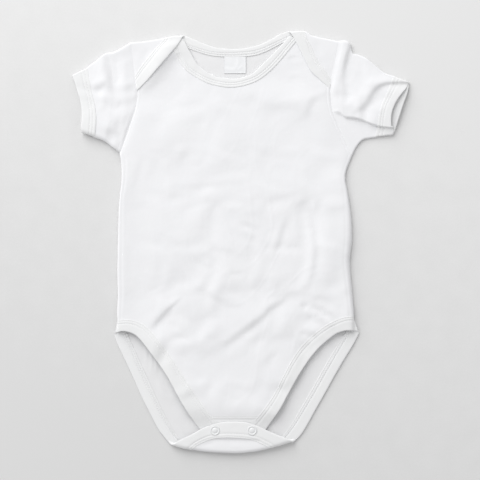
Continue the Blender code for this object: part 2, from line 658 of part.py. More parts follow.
def back_lines():
    """The sewn-on and free lines of the back's bindings, in the flat pattern."""
    lines = {}
    neck_inner = points(BACK_NECK, "inner_")
    neck_edge = points(BACK_NECK, "edge_")
    for side, flap, end in (("left", FLAP_LEFT, 0), ("right", FLAP_RIGHT, -1)):
        corner = neck_inner[end].copy()
        corner[1] = shoulder_line(corner[0])
        inner = np.vstack([unfold_shoulder(points(flap, "inner_")), corner])
        edge = np.vstack([unfold_shoulder(points(flap, "edge_")), neck_edge[end]])
        lines["flap_" + side] = (smooth(inner, BACK_SHOULDER_SPANS), smooth(edge, BACK_SHOULDER_SPANS))
        neck_inner[end] = corner
    lines["neck"] = (smooth(neck_inner, BACK_NECK_SPANS), smooth(neck_edge, BACK_NECK_SPANS))
    tab_inner = unfold_tab(points(TAB, "inner_"))
    tab_edge = unfold_tab(points(TAB, "edge_"))
    ends = []
    for side, rows in (("left", BACK_LEG_LEFT), ("right", BACK_LEG_RIGHT)):
        inner = points(rows, "inner_")
        edge = points(rows, "edge_")
        inner[-1][1] = crotch_line(inner[-1][0])
        edge[-1][1] = crotch_line(edge[-1][0])
        lines["leg_" + side] = (smooth(inner, LEG_SPANS), smooth(edge, LEG_SPANS))
        ends.append((inner[-1], edge[-1]))
    inner = np.vstack([ends[0][0], tab_inner, ends[1][0]])
    edge = np.vstack([ends[0][1], tab_edge, ends[1][1]])
    lines["tab"] = (smooth(inner, TAB_SPANS), smooth(edge, TAB_SPANS))
    return lines


def back_grids(lines):
    """The back pattern: the body, the two shoulder flaps and the crotch tab."""
    corners = (points(ARMHOLE_LEFT)[-1], points(ARMHOLE_RIGHT)[-1])
    shoulders = []
    for corner, side in zip(corners, ("left", "right")):
        inner_end = lines["flap_" + side][0][-1]
        xs = np.linspace(corner[0], inner_end[0], BACK_SHOULDER_SPANS + 1)
        shoulders.append(np.array([(x, shoulder_line(x)) for x in xs]))
    leg_left = lines["leg_left"][0]
    leg_right = lines["leg_right"][0][::-1]
    xs = np.linspace(leg_left[-1][0], leg_right[0][0], TAB_SPANS + 1)
    crotch = np.array([(x, crotch_line(x)) for x in xs])
    left = side_line(SIDE_LEFT, ARMHOLE_LEFT, shoulders[0][0], leg_left[0], BACK_SIDE_SPANS)
    right = side_line(SIDE_RIGHT, ARMHOLE_RIGHT, shoulders[1][0], leg_right[-1], BACK_SIDE_SPANS)
    bottom = joined(leg_left, crotch, leg_right)
    top = joined(shoulders[0], lines["neck"][0], shoulders[1][::-1])
    body = patch(left, right, bottom, top)
    flap_left = spread(shoulders[0], lines["flap_left"][0], FLAP_ROWS, FLAP_POWER)
    flap_right = spread(shoulders[1], lines["flap_right"][0], FLAP_ROWS, FLAP_POWER)
    tab = spread(crotch, lines["tab"][0], TAB_ROWS, TAB_POWER)
    return [body, flap_left, flap_right, tab]


def sleeve_grid(armhole, top, foot, hem):
    """A sleeve's plan between its armhole, its two folded edges and its hem band."""
    seam = np.vstack([points(top)[:1], points(armhole)[::-1][1:-1], points(foot)[:1]])
    return patch(smooth(points(top), SLEEVE_ROWS), smooth(points(foot), SLEEVE_ROWS),
                 smooth(seam, SLEEVE_COLUMNS), smooth(points(hem, "inner_"), SLEEVE_COLUMNS))


def hem_grid(hem):
    """A hem band's plan, from just past the sleeve to the open end."""
    inner = smooth(points(hem, "inner_"), SLEEVE_COLUMNS)
    edge = smooth(points(hem, "edge_"), SLEEVE_COLUMNS)
    inner = inner + (edge - inner) * HEM_GAP / np.linalg.norm(edge - inner, axis=1)[:, None]
    return spread(inner, edge, HEM_ROWS, 1.0)


CAP_PROFILE = ((0.0, 1.2), (1.6, 1.15), (2.6, 0.7), (3.2, 0.65), (3.8, 1.15), (4.3, 1.1),
               (SNAP_RADIUS, 0.6), (SNAP_RADIUS, 0.2), (4.4, 0.0), (0.0, 0.0))
SOCKET_PROFILE = ((0.0, 1.5), (3.6, 1.5), (4.2, 1.2), (4.2, 0.3), (3.6, 0.0), (0.0, 0.0))
SNAP_CENTRES = (("left", (-20.4, -181.4)), ("right", (15.5, -181.4)))


def build():
    for old in list(bpy.data.objects):
        bpy.data.objects.remove(old, do_unlink=True)
    garment = bpy.data.collections.new("Baby_Bodysuit")
    bpy.context.scene.collection.children.link(garment)
    jersey = cotton("Cotton_Jersey", (0.86, 0.86, 0.87), 0.9)
    strip = cotton("Cotton_Binding", (0.87, 0.87, 0.88), 0.85)
    satin = cotton("Satin_Tape", (0.84, 0.84, 0.86), 0.5)
    plastic = cotton("Snap_Plastic", (0.86, 0.86, 0.87), 0.35)

    lines = back_lines()
    sheet("back_panel", back_grids(lines), back_place, jersey, garment)
    neck_inner = joined(lines["flap_left"][0], lines["neck"][0], lines["flap_right"][0][::-1])
    neck_edge = joined(lines["flap_left"][1], lines["neck"][1], lines["flap_right"][1][::-1])
    binding("neck_binding_back", neck_inner, neck_edge, back_place, flush, FOLDED_SPANS, strip, garment)
    for side in ("left", "right"):
        inner, edge = lines["leg_" + side]
        binding("leg_binding_back_" + side, trimmed(inner, 0, GAP), trimmed(edge, 0, GAP),
                back_place, flush, FOLDED_SPANS, strip, garment)
    inner, edge = lines["tab"]
    binding("crotch_binding_back", inner, edge, back_place, flush, FOLDED_SPANS, strip, garment)

    sheet("front_panel", [front_grid()], front_place, jersey, garment)
    neck_inner = smooth(points(FRONT_NECK, "inner_"), FRONT_NECK_SPANS)
    neck_edge = smooth(points(FRONT_NECK, "edge_"), FRONT_NECK_SPANS)
    binding("neck_binding_front", neck_inner, neck_edge, front_place, centred, FLAT_SPANS, strip, garment)
    for side, rows in (("left", FRONT_LEG_LEFT), ("right", FRONT_LEG_RIGHT)):
        inner = smooth(points(rows, "inner_"), LEG_SPANS)
        edge = smooth(points(rows, "edge_"), LEG_SPANS)
        binding("leg_binding_front_" + side, inner, edge, front_place, centred, FLAT_SPANS, strip, garment)
    start = points(FRONT_LEG_LEFT, "inner_")[-1]
    end = points(FRONT_LEG_RIGHT, "inner_")[-1]
    inner = np.linspace(start, end, CROTCH_SPANS + 1)
    edge = inner - np.array([0.0, CROTCH_END])
    inner = trimmed(inner, CROTCH_END_GAP, CROTCH_END_GAP)
    edge = trimmed(edge, CROTCH_END_GAP, CROTCH_END_GAP)
    binding("crotch_binding_front", inner, edge, front_place, centred, FLAT_SPANS, strip, garment)

    left = sleeve_grid(ARMHOLE_LEFT, SLEEVE_LEFT_TOP, SLEEVE_LEFT_FOOT, HEM_LEFT)
    right = sleeve_grid(ARMHOLE_RIGHT, SLEEVE_RIGHT_TOP, SLEEVE_RIGHT_FOOT, HEM_RIGHT)
    tube("sleeve_left", left, SLEEVE_LEFT_HEIGHTS, SLEEVE_LEFT_FOLDS, CLOTH,
         -ARMHOLE_GAP_LEFT, 0.0, jersey, garment)
    tube("sleeve_right", right, SLEEVE_RIGHT_HEIGHTS, SLEEVE_RIGHT_FOLDS, CLOTH,
         ARMHOLE_GAP_RIGHT, 0.0, jersey, garment)
    tube("cuff_left", hem_grid(HEM_LEFT), HEM_LEFT_HEIGHTS, [], BAND,
         -ARMHOLE_GAP_LEFT, 0.0, strip, garment)
    tube("cuff_right", hem_grid(HEM_RIGHT), HEM_RIGHT_HEIGHTS, [], BAND,
         ARMHOLE_GAP_RIGHT, HEM_LIP, strip, garment)

    sides = (LABEL_CENTRE - LABEL_WIDTH / 2, LABEL_CENTRE + LABEL_WIDTH / 2)
    label = np.array([[(x, y) for x in sides] for y in (LABEL_FOOT, LABEL_TOP)])
    sheet("neck_label", [label], back_place, satin, garment, CLOTH + GAP)
    for side, centre in SNAP_CENTRES:
        front_top = front_height(*centre) + BAND / 2
        tab_top = CLOTH / 2 + 2 * CROTCH_ROLL + BAND / 2
        turned("snap_socket_" + side, SOCKET_PROFILE, centre, front_top + GAP, plastic, garment)
        turned("snap_cap_" + side, CAP_PROFILE, centre, tab_top + GAP, plastic, garment)


build()
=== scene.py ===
# %% [markdown]
# # A baby bodysuit, laid out flat
# A bodysuit is a few flat pieces of knitted cotton, bound at every edge with a folded strip of
# the same knit. Laid on a table it is under a centimetre high, so its looks come from low
# relief: the step at each binding, two rows of stitches beside it, soft creases, and the
# shoulder flaps that lap over the front.
# Each piece starts as a flat pattern, a grid of points between its sewing lines. A placing
# function then lays, folds and creases it. A cloth simulation could do that too, but folds
# given in tables lie where they are wanted, and they come out the same each time.

# %% Start: the solids
import math
from collections import namedtuple

import bmesh
import bpy
import numpy as np
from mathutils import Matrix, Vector


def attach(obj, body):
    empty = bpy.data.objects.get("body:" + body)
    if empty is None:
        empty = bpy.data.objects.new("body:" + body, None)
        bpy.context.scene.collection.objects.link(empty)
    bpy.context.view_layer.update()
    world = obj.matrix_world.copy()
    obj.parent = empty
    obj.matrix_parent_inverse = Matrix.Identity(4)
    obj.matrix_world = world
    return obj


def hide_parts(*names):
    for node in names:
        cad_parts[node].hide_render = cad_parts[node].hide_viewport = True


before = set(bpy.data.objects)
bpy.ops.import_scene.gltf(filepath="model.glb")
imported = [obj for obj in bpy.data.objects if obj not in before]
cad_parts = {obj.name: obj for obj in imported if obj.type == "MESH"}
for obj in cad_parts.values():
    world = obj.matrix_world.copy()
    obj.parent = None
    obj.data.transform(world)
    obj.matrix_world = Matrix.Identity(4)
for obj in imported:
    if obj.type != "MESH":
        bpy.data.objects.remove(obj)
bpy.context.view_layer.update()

MM = 0.001


def put(name, data):
    """An object in the scene, from its mesh, lamp or camera."""
    thing = bpy.data.objects.new(name, data)
    bpy.context.scene.collection.objects.link(thing)
    return thing


print("solids:", sorted(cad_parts))

# %% [markdown]
# ## Camera, light and table
# The garment is seen from straight above. A long lens far away keeps its edges from leaning
# out. One large soft light stands low to the upper left, because low light draws creases and
# gives a soft shadow to the lower right; a pale sky fills the rest.

# %% Camera
CAMERA_UP = 3.0
CAMERA_OVER = (0.0039, 0.0029)
PICTURE_WIDTH = 0.4656
SENSOR = 36.0

view = bpy.data.cameras.new("camera_above")
view.sensor_width = SENSOR
view.lens = SENSOR * CAMERA_UP / PICTURE_WIDTH
camera = put("camera_above", view)
camera.location = (*CAMERA_OVER, CAMERA_UP)
bpy.context.scene.camera = camera
bpy.context.scene.view_settings.view_transform = "Standard"
print("lens", round(view.lens), "mm")

# %% Lights
KEY_FROM = (-1.06, 1.71, 1.58)
KEY_SIZE = 2.6
KEY_WATTS = 54.5
SKY = (1.0, 1.0, 1.0, 1.0)
SKY_STRENGTH = 0.60

lamp = bpy.data.lights.new("window_light", "AREA")
lamp.shape = "DISK"
lamp.size = KEY_SIZE
lamp.energy = KEY_WATTS
key = put("window_light", lamp)
key.location = KEY_FROM
key.rotation_euler = Vector(KEY_FROM).to_track_quat("Z", "Y").to_euler()

world = bpy.data.worlds.new("pale_room")
world.use_nodes = True
sky = world.node_tree.nodes["Background"]
sky.inputs["Color"].default_value = SKY
sky.inputs["Strength"].default_value = SKY_STRENGTH
bpy.context.scene.world = world
print("key light", lamp.energy, "W")

# %% [markdown]
# ## Sums in a material
# A procedural finish is arithmetic on places: waves, noise and masks. `Signal` wraps a socket,
# so that arithmetic is written as in Python, and each sign adds its Math node.

# %% Signal: a socket that can be used in a sum


class Signal:
    """One output of a material's nodes, used like a number."""

    def __init__(self, tree, socket=None):
        self.tree = tree
        self.socket = socket

    def node(self, kind, settings=None, sockets=None, out=0):
        """Adds a node: its settings first, then the values or links of its sockets."""
        made = self.tree.nodes.new("ShaderNode" + kind)
        for name, value in (settings or {}).items():
            setattr(made, name, value)
        for name, value in (sockets or {}).items():
            if isinstance(value, Signal):
                self.tree.links.new(value.socket, made.inputs[name])
            else:
                made.inputs[name].default_value = value
        return Signal(self.tree, made.outputs[out])

    def sum(self, operation, first, second=0.0):
        return self.node("Math", {"operation": operation}, {0: first, 1: second})

    def __add__(self, other):
        return self.sum("ADD", self, other)

    def __radd__(self, other):
        return self.sum("ADD", other, self)

    def __sub__(self, other):
        return self.sum("SUBTRACT", self, other)

    def __rsub__(self, other):
        return self.sum("SUBTRACT", other, self)

    def __mul__(self, other):
        return self.sum("MULTIPLY", self, other)

    def __rmul__(self, other):
        return self.sum("MULTIPLY", other, self)

    def __truediv__(self, other):
        return self.sum("DIVIDE", self, other)

    def __pow__(self, other):
        return self.sum("POWER", self, other)

    def __abs__(self):
        return self.sum("ABSOLUTE", self)

    def part(self):
        """What is left of a number past its whole part."""
        return self.sum("FRACT", self)

    def wave(self):
        return self.sum("SINE", self)


def finish(name, roughness, sheen=0.0, specular=0.3, matt=0.0):
    """A new material, its shader, and a start for its sums."""
    material = bpy.data.materials.new(name)
    material.use_nodes = True
    shader = material.node_tree.nodes["Principled BSDF"]
    shader.inputs["Roughness"].default_value = roughness
    shader.inputs["Specular IOR Level"].default_value = specular
    shader.inputs["Sheen Weight"].default_value = sheen
    shader.inputs["Sheen Roughness"].default_value = 0.5
    shader.inputs["Diffuse Roughness"].default_value = matt
    return material, shader, Signal(material.node_tree)


def tint(start, low, high, amount):
    """A colour between two, by a number from 0 to 1."""
    low, high = [colour if isinstance(colour, Signal) else (*colour, 1.0) for colour in (low, high)]
    return start.node("Mix", {"data_type": "RGBA"}, {0: amount, 6: low, 7: high}, 2)


def wire(shader, name, signal):
    signal.tree.links.new(signal.socket, shader.inputs[name])


def relief(shader, strength, height):
    """Fine relief, from a height in metres."""
    wire(shader, "Normal", height.node("Bump", {}, {"Strength": strength, "Distance": 1.0,
                                                    "Height": height}))


def two_ways(start, place):
    """The first two parts of a place, across and along."""
    return [start.node("SeparateXYZ", {}, {0: place}, part) for part in (0, 1)]


def cut_map(start):
    """Places in the flat pattern of a piece."""
    return start.node("UVMap", {"uv_map": "cut"})


def cloud(start, place, size, detail=2.0):
    """Noise from 0 to 1 with patches of a size in metres."""
    return start.node("TexNoise", {}, {"Vector": place, "Scale": 1 / size, "Detail": detail})


print("signals ready")

# %% [markdown]
# ## The finishes
# Interlock jersey is knitted in columns of small V-shaped loops, about nine tenths of a
# millimetre apart. Each piece carries a map called `cut`, which holds its flat pattern in
# metres, so the columns follow the cut of the piece and turn with it over a fold. Washed
# cotton is never quite even: broad faint clouds vary its white, and a soft mid-sized bump
# stands for the pull between loops.

# %% Knitted cotton
COURSE = 0.0008           # from one row of loops to the next
LOOP_LEAN = 0.4           # how far the two legs of a loop slant
YARN_HIGH = 0.00005
PULL_HIGH = 0.00022
FUZZ_HIGH = 0.00003
PATCH_SIZE = 0.045
# Partly real, partly painted shade: the greyer colour of the back where it lies on the table as one
# layer, for the paper showing through and the shade inside the openings.
SINGLE_LAYER_SHADE_COLOUR = (0.852, 0.852, 0.859)
SINGLE_LAYER_SHADE_EDGE = 0.003


def knit(name, white, shade, wale, uneven, thin=None):
    """Cotton knit with its columns (a wale apart) and rows of loops in the map of the cut.

    Partly real and partly painted shade: a single layer on the table lets the grey paper show
    through, and where the back shows in the neck and leg openings it lies in shade; both are
    painted as a greyer colour. The last argument is how far up and down the piece this holds.
    """
    material, shader, start = finish(name, 0.92, sheen=0.04, specular=0.15, matt=0.9)
    cut = cut_map(start)
    across, along = two_ways(start, cut)
    side = abs((across / wale).part() * 2 - 1)
    loop = ((along / COURSE + side * LOOP_LEAN) * math.tau).wave()
    yarn = (1 - side ** 2) * (0.7 + loop * 0.3)
    pull = cloud(start, cut, uneven)
    fuzz = cloud(start, cut, wale * 0.4)
    relief(shader, 0.6, yarn * YARN_HIGH + pull * PULL_HIGH + fuzz * FUZZ_HIGH)
    worn = cloud(start, cut, PATCH_SIZE, 3.0) * 0.65 + yarn * 0.35
    colour = tint(start, shade, white, worn)
    if thin:
        # painted shade, partly real: greyer within this reach of the middle of the back's pattern
        colour = tint(start, colour, SINGLE_LAYER_SHADE_COLOUR, (thin - abs(along)) / SINGLE_LAYER_SHADE_EDGE)
    wire(shader, "Base Color", colour)
    return material


JERSEY = dict(white=(0.915, 0.915, 0.925), shade=(0.865, 0.868, 0.883), wale=0.0009, uneven=0.004)
jersey = knit("cotton_jersey", **JERSEY)
# the back is painted greyer between its folds, in part as painted shade
back_jersey = knit("cotton_jersey_back", **JERSEY, thin=0.197)
strip = knit("cotton_binding", (0.90, 0.90, 0.90), (0.85, 0.855, 0.862), 0.0008, 0.003)
print(jersey.name, strip.name)

# %% [markdown]
# Sewing thread is two fine yarns twisted together. The label is a woven satin tape: long
# floats lie across it, so it is smoother than the knit. The press studs are enamelled, and
# their gloss and colour are a little uneven.

# %% Thread, label tape and studs
THREAD_TWIST = 0.0005
TAPE_ROW = 0.00024
TAPE_FLOAT = 0.0012
SCUFF_SIZE = 0.0009


def thread_finish():
    material, shader, start = finish("sewing_thread", 0.6, sheen=0.1)
    along, round_it = two_ways(start, cut_map(start))
    twist = ((along / THREAD_TWIST + round_it) * math.tau).wave() * 0.5 + 0.5
    relief(shader, 0.5, twist * 0.00005)
    # Painted shade: the thread is coloured greyer than the white cloth, and darker along the grooves
    # of its twist, for the shade in and around its own beads.
    wire(shader, "Base Color", tint(start, (0.70, 0.705, 0.715), (0.84, 0.84, 0.845), twist))
    return material


def tape_finish():
    material, shader, start = finish("satin_tape", 0.42, sheen=0.05, specular=0.4)
    cut = cut_map(start)
    across, along = two_ways(start, cut)
    row = (along / TAPE_ROW).part()
    float_step = ((across / TAPE_FLOAT + along / (TAPE_FLOAT / 2)) * math.tau).wave()
    weave = (1 - abs(row * 2 - 1)) * (0.75 + float_step * 0.25)
    relief(shader, 0.5, weave * 0.00004)
    clouds = cloud(start, cut, 0.008)
    wire(shader, "Base Color", tint(start, (0.80, 0.81, 0.83), (0.87, 0.875, 0.885),
                                    weave * 0.4 + clouds * 0.6))
    return material


def stud_finish():
    material, shader, start = finish("stud_enamel", 0.28, specular=0.5)
    place = start.node("TexCoord", out=3)
    scuff = cloud(start, place, SCUFF_SIZE, 4.0)
    wire(shader, "Roughness", 0.2 + scuff * 0.25)
    wire(shader, "Base Color", tint(start, (0.78, 0.79, 0.80), (0.86, 0.865, 0.87), scuff))
    relief(shader, 0.2, scuff * 0.00004)
    return material


thread = thread_finish()
tape = tape_finish()
enamel = stud_finish()
print(thread.name, tape.name, enamel.name)

# %% [markdown]
# ## The table
# A sheet of pale matt paper. Its grain is fine, with broad faint clouds. Its tone is painted
# paler towards the top and the right: painted light and shade for the lamp's fall-off.

# %% Table top
TABLE_HALF = 1.5
TABLE_DROP = 0.0002
# Painted light and shade: the paper's tone runs from the first colour to the second, paler towards the
# top and the right, for the lamp's fall-off; grain and clouds vary it too.
PAPER_GRAIN_PAINTED_SHADE = (0.708, 0.708, 0.708)
PAPER_GRAIN_PAINTED_LIGHT = (0.778, 0.778, 0.778)
PAINTED_FALLOFF_REACH = 0.5         # painted light: the paper is painted paler towards the top
PAINTED_FALLOFF_LEAN = 1.4
GRAIN_SIZE = 0.0016
CLOUD_SIZE = 0.02


def paper_finish():
    material, shader, start = finish("pale_paper", 0.95, specular=0.1)
    place = start.node("TexCoord", out=3)
    grain = cloud(start, place, GRAIN_SIZE, 4.0)
    clouds = cloud(start, place, CLOUD_SIZE, 3.0)
    aside, up = two_ways(start, place)
    # painted light and shade: paler towards the top and the right for the lamp's fall-off, besides
    # grain and clouds
    fade = up / PAINTED_FALLOFF_REACH + aside * PAINTED_FALLOFF_LEAN + 0.5 + (grain + clouds - 1) * 0.6
    wire(shader, "Base Color", tint(start, PAPER_GRAIN_PAINTED_SHADE, PAPER_GRAIN_PAINTED_LIGHT, fade))
    relief(shader, 0.3, grain * 0.0001)
    return material


def table_top():
    mesh = bpy.data.meshes.new("table_top")
    corners = [(x * TABLE_HALF, y * TABLE_HALF, -TABLE_DROP)
               for x, y in ((-1, -1), (1, -1), (1, 1), (-1, 1))]
    mesh.from_pydata(corners, [], [(0, 1, 2, 3)])
    mesh.materials.append(paper_finish())
    put("table_top", mesh)


table_top()
print("table top", 2 * TABLE_HALF, "m wide")

# %% [markdown]
# ## Sewing lines
# The pattern is a set of lines, given in millimetres as the garment lies: X runs across it and
# Y up to the neck. A binding lies between its inner line, where it is sewn on, and its free
# edge. Few points are enough, because a smooth line is drawn through them.

# %% Short tables and smooth lines


def table(columns, *rows):
    """A short table whose cells are read by the names of its columns."""
    record = namedtuple("Row", columns)
    return [record(*row) for row in rows]


def knots(rows, prefix=""):
    """The x and y columns of a table, with a prefix such as inner_ or edge_."""
    return np.array([(getattr(row, prefix + "x"), getattr(row, prefix + "y")) for row in rows])


CURVE_STEPS = 24


def run_along(line):
    """How far along a line each of its points lies."""
    return np.concatenate([[0], np.cumsum(np.linalg.norm(np.diff(line, axis=0), axis=1))])


def at_run(line, run, steps):
    """Values of a line at some distances along it."""
    return np.column_stack([np.interp(steps, run, column) for column in line.T])


def smooth(line, shares):
    """A smooth line through knots, read at so many even steps or at given shares of its length."""
    line = np.asarray(line, float)
    line = np.vstack([2 * line[0] - line[1], line, 2 * line[-1] - line[-2]])
    fine = [line[1:2]]
    t = np.linspace(0, 1, CURVE_STEPS + 1)[1:, None]
    for before, start, end, after in zip(line, line[1:], line[2:], line[3:]):
        slope = (end - before) * t
        swing = (2 * before - 5 * start + 4 * end - after) * t ** 2
        turn = (3 * start - before - 3 * end + after) * t ** 3
        fine.append(0.5 * (2 * start + slope + swing + turn))
    fine = np.vstack(fine)
    run = run_along(fine)
    if isinstance(shares, int):
        shares = np.linspace(0, 1, shares + 1)
    return at_run(fine, run, np.asarray(shares) * run[-1])


def length_of(line):
    return float(np.linalg.norm(np.diff(line, axis=0), axis=-1).sum())


def joined(*lines):
    """Lines put end to end, each starting where the one before it stops."""
    return np.vstack([lines[0]] + [line[1:] for line in lines[1:]])


print("a smooth line has", CURVE_STEPS, "steps from knot to knot")

# %% Outline of the body
POINT = "x y"

SHOULDER_TOP = table(
    POINT,
    (-101.8, 194.0), (-83.4, 195.9), (-68.9, 198.8), (-60.1, 200.5), (-50.4, 200.8),
    (52.4, 204.7), (66.0, 205.2), (73.7, 200.8), (91.2, 196.9), (108.6, 193.5))
SHOULDER_SPLIT = 5        # rows of the left shoulder; the rest are the right one's

CROTCH_FOOT = table(
    POINT,
    (-66.0, -194.0), (-54.3, -197.9), (-42.7, -200.3), (-30.1, -202.2), (-15.5, -203.2),
    (0.0, -203.7), (13.6, -202.7), (25.2, -200.8), (37.8, -197.4), (53.4, -192.5))

ARMHOLE_LEFT = table(
    POINT,
    (-112.5, 88.3), (-107.7, 101.8), (-102.8, 115.4), (-98.0, 129.0), (-95.5, 140.7),
    (-96.0, 148.4), (-98.3, 163.9), (-100.3, 179.4), (-101.8, 191.2))

ARMHOLE_RIGHT = table(
    POINT,
    (112.4, 85.4), (108.2, 94.6), (102.6, 106.0), (97.0, 118.3), (93.3, 128.0),
    (91.4, 138.7), (91.3, 150.4), (92.7, 159.0), (94.8, 168.8), (97.4, 181.4), (99.6, 191.6))

SIDE_LEFT = table(
    POINT,
    (-114.5, -74.7), (-114.5, -63.0), (-114.0, -50.4), (-114.5, -26.2), (-114.0, -1.9),
    (-113.5, 22.3), (-112.5, 41.7), (-110.6, 59.2), (-110.6, 74.7))

SIDE_RIGHT = table(
    POINT,
    (114.5, -70.8), (113.2, -60.0), (112.2, -46.5), (110.9, -33.0), (109.9, -18.0),
    (110.9, -7.5), (112.1, 3.4), (111.7, 19.0), (110.3, 33.0), (107.8, 49.0), (105.6, 62.0),
    (107.2, 72.3))
print("body outline:", len(SIDE_LEFT) + len(SIDE_RIGHT), "points down the sides")

# %% Bindings of neck, flaps, legs and crotch tab
STRIP = "inner_x inner_y edge_x edge_y"

FRONT_NECK = table(
    STRIP,
    (-63.5, 195.3, -51.2, 198.2), (-56.3, 177.5, -44.6, 185.3), (-46.6, 165.9, -35.9, 171.7),
    (-30.0, 156.0, -21.0, 161.8), (-15.5, 151.8, -10.7, 160.0), (-3.9, 150.8, -1.0, 159.2),
    (8.7, 152.8, 8.0, 161.0), (21.3, 157.6, 17.0, 165.0), (33.0, 166.4, 25.2, 172.7),
    (42.7, 176.5, 35.9, 183.3), (51.5, 187.0, 44.6, 192.6), (60.4, 198.2, 51.4, 200.2))

BACK_NECK = table(
    STRIP,
    (-67.0, 196.6, -50.0, 202.4), (-58.2, 194.0, -44.6, 198.8), (-48.5, 189.6, -37.5, 195.8),
    (-36.9, 185.3, -28.0, 192.0), (-25.2, 181.9, -19.0, 189.2), (-10.7, 180.4, -8.7, 188.2),
    (3.9, 180.4, 3.9, 188.2), (18.4, 182.0, 15.5, 190.1), (30.1, 186.0, 26.2, 193.5),
    (40.7, 191.6, 35.9, 198.4), (52.4, 197.6, 43.4, 203.0), (65.0, 202.4, 51.0, 206.6))

# Free edges of the shoulder flaps, from the armhole to the neck point, as they lie folded.
FLAP_LEFT = table(
    STRIP,
    (-98.0, 161.5, -96.2, 147.4), (-92.0, 171.0, -87.0, 156.4), (-85.0, 180.0, -77.0, 168.0),
    (-77.4, 189.0, -66.0, 180.6), (-71.2, 196.0, -57.4, 190.6))

FLAP_RIGHT = table(
    STRIP,
    (92.6, 158.6, 91.0, 149.3), (85.4, 168.8, 79.5, 160.0), (77.6, 180.4, 67.6, 176.6),
    (71.8, 193.0, 59.6, 192.2), (68.6, 199.4, 55.6, 199.8))

FRONT_LEG_LEFT = table(
    STRIP,
    (-114.5, -74.7, -117.4, -87.3), (-102.8, -74.2, -108.6, -85.3), (-92.1, -77.6, -98.0, -88.6),
    (-83.4, -84.4, -90.6, -95.8), (-73.7, -96.0, -82.5, -106.4), (-64.0, -108.6, -73.7, -118.3),
    (-54.3, -124.2, -65.0, -131.6), (-44.6, -138.7, -56.4, -147.6), (-34.9, -153.3, -47.6, -162.6),
    (-24.6, -167.6, -36.0, -179.2), (-14.0, -181.0, -27.5, -191.5))

FRONT_LEG_RIGHT = table(
    STRIP,
    (113.5, -70.8, 118.3, -85.4), (105.7, -71.3, 107.6, -84.6), (96.0, -74.7, 97.6, -87.4),
    (86.3, -80.0, 88.6, -94.0), (75.0, -88.6, 79.0, -102.6), (62.6, -101.0, 69.4, -114.6),
    (53.4, -114.5, 60.1, -129.0), (44.6, -131.0, 51.0, -145.2), (36.4, -147.0, 42.4, -161.0),
    (25.2, -163.0, 32.0, -176.2), (10.0, -181.0, 22.0, -191.5))

BACK_LEG_LEFT = table(
    STRIP,
    (-114.5, -75.7, -117.8, -89.6), (-108.6, -82.6, -114.6, -98.4), (-101.0, -97.8, -108.6, -111.2),
    (-92.6, -116.4, -99.8, -130.0), (-84.6, -134.0, -91.2, -149.4), (-76.4, -151.8, -83.0, -165.8),
    (-67.6, -169.8, -75.4, -180.2), (-57.6, -186.6, -70.6, -186.8), (-48.6, -195.6, -67.6, -193.2))

BACK_LEG_RIGHT = table(
    STRIP,
    (113.5, -71.8, 119.3, -87.3), (107.4, -84.4, 113.6, -98.6), (98.6, -98.6, 104.6, -113.2),
    (89.4, -113.8, 95.4, -129.0), (80.4, -129.6, 86.6, -145.0), (71.6, -145.4, 77.6, -160.8),
    (62.0, -162.0, 68.4, -177.4), (52.0, -178.6, 63.2, -185.4), (41.0, -191.4, 60.2, -191.2))

# The crotch tab as it lies folded up over the front.
TAB = table(
    STRIP,
    (-38.6, -196.8, -54.4, -190.8), (-30.6, -192.6, -43.6, -185.8), (-22.4, -189.8, -31.4, -179.0),
    (-13.0, -188.7, -17.6, -174.4), (-3.9, -188.6, -3.9, -173.1), (6.4, -189.2, 9.6, -173.8),
    (16.6, -191.2, 22.6, -178.0), (24.6, -194.6, 34.2, -183.4), (31.4, -197.6, 45.6, -188.0))
print("front neck line", round(length_of(smooth(knots(FRONT_NECK, "inner_"), 200))), "mm")

# %% Sleeves and their bound hems
SLEEVE_LEFT_TOP = table(
    POINT,
    (-101.8, 194.0), (-111.5, 188.2), (-119.0, 184.6), (-127.1, 182.8), (-135.0, 176.5),
    (-143.6, 169.8))
SLEEVE_LEFT_FOOT = table(
    POINT,
    (-112.5, 88.3), (-119.3, 93.1), (-127.1, 98.9), (-136.8, 102.8))
HEM_LEFT = table(
    STRIP,
    (-143.6, 169.8, -159.1, 162.5), (-142.1, 158.1, -156.2, 155.2), (-139.7, 146.5, -153.3, 145.5),
    (-136.8, 134.8, -150.3, 134.8), (-135.3, 122.2, -149.4, 123.2), (-135.8, 111.5, -149.9, 113.5),
    (-136.8, 102.8, -149.4, 106.7))
SLEEVE_RIGHT_TOP = table(
    POINT,
    (100.4, 195.2), (106.6, 195.6), (110.6, 192.0), (112.6, 184.0), (118.0, 182.2),
    (126.0, 178.8), (133.9, 172.6), (143.4, 164.6), (152.3, 160.9))
SLEEVE_RIGHT_FOOT = table(
    POINT,
    (112.4, 85.4), (116.8, 94.0), (123.6, 100.8), (134.8, 102.8))
HEM_RIGHT = table(
    STRIP,
    (152.3, 161.5, 167.2, 156.4), (146.5, 146.5, 162.2, 146.0), (141.6, 135.8, 157.4, 137.0),
    (138.7, 125.1, 153.8, 127.0), (136.8, 112.5, 151.8, 115.0), (134.8, 102.8, 152.3, 104.8))
print("left hem", round(length_of(smooth(knots(HEM_LEFT, "edge_"), 100))), "mm")

# %% [markdown]
# ## Creases
# A crease in soft cotton is two things. A plain ridge or trough is a bell across its line, and
# its column is `rise`. A tuck, where the cloth has slipped over itself, is high on one side of
# its line and low on the other, and its column is `drop`: the low side is on the left of the
# way in which the row runs. Both die away at their ends, and no two are alike.
# Between them the cloth has small uneven waves with no line at all, and a few press marks.

# %% How a crease lifts the cloth
CREASE = "x1 y1 x2 y2 bow width rise drop"
CREASE_FADE = 0.38        # share of a crease over which each end dies away
TUCK_PEAK = math.exp(0.5)


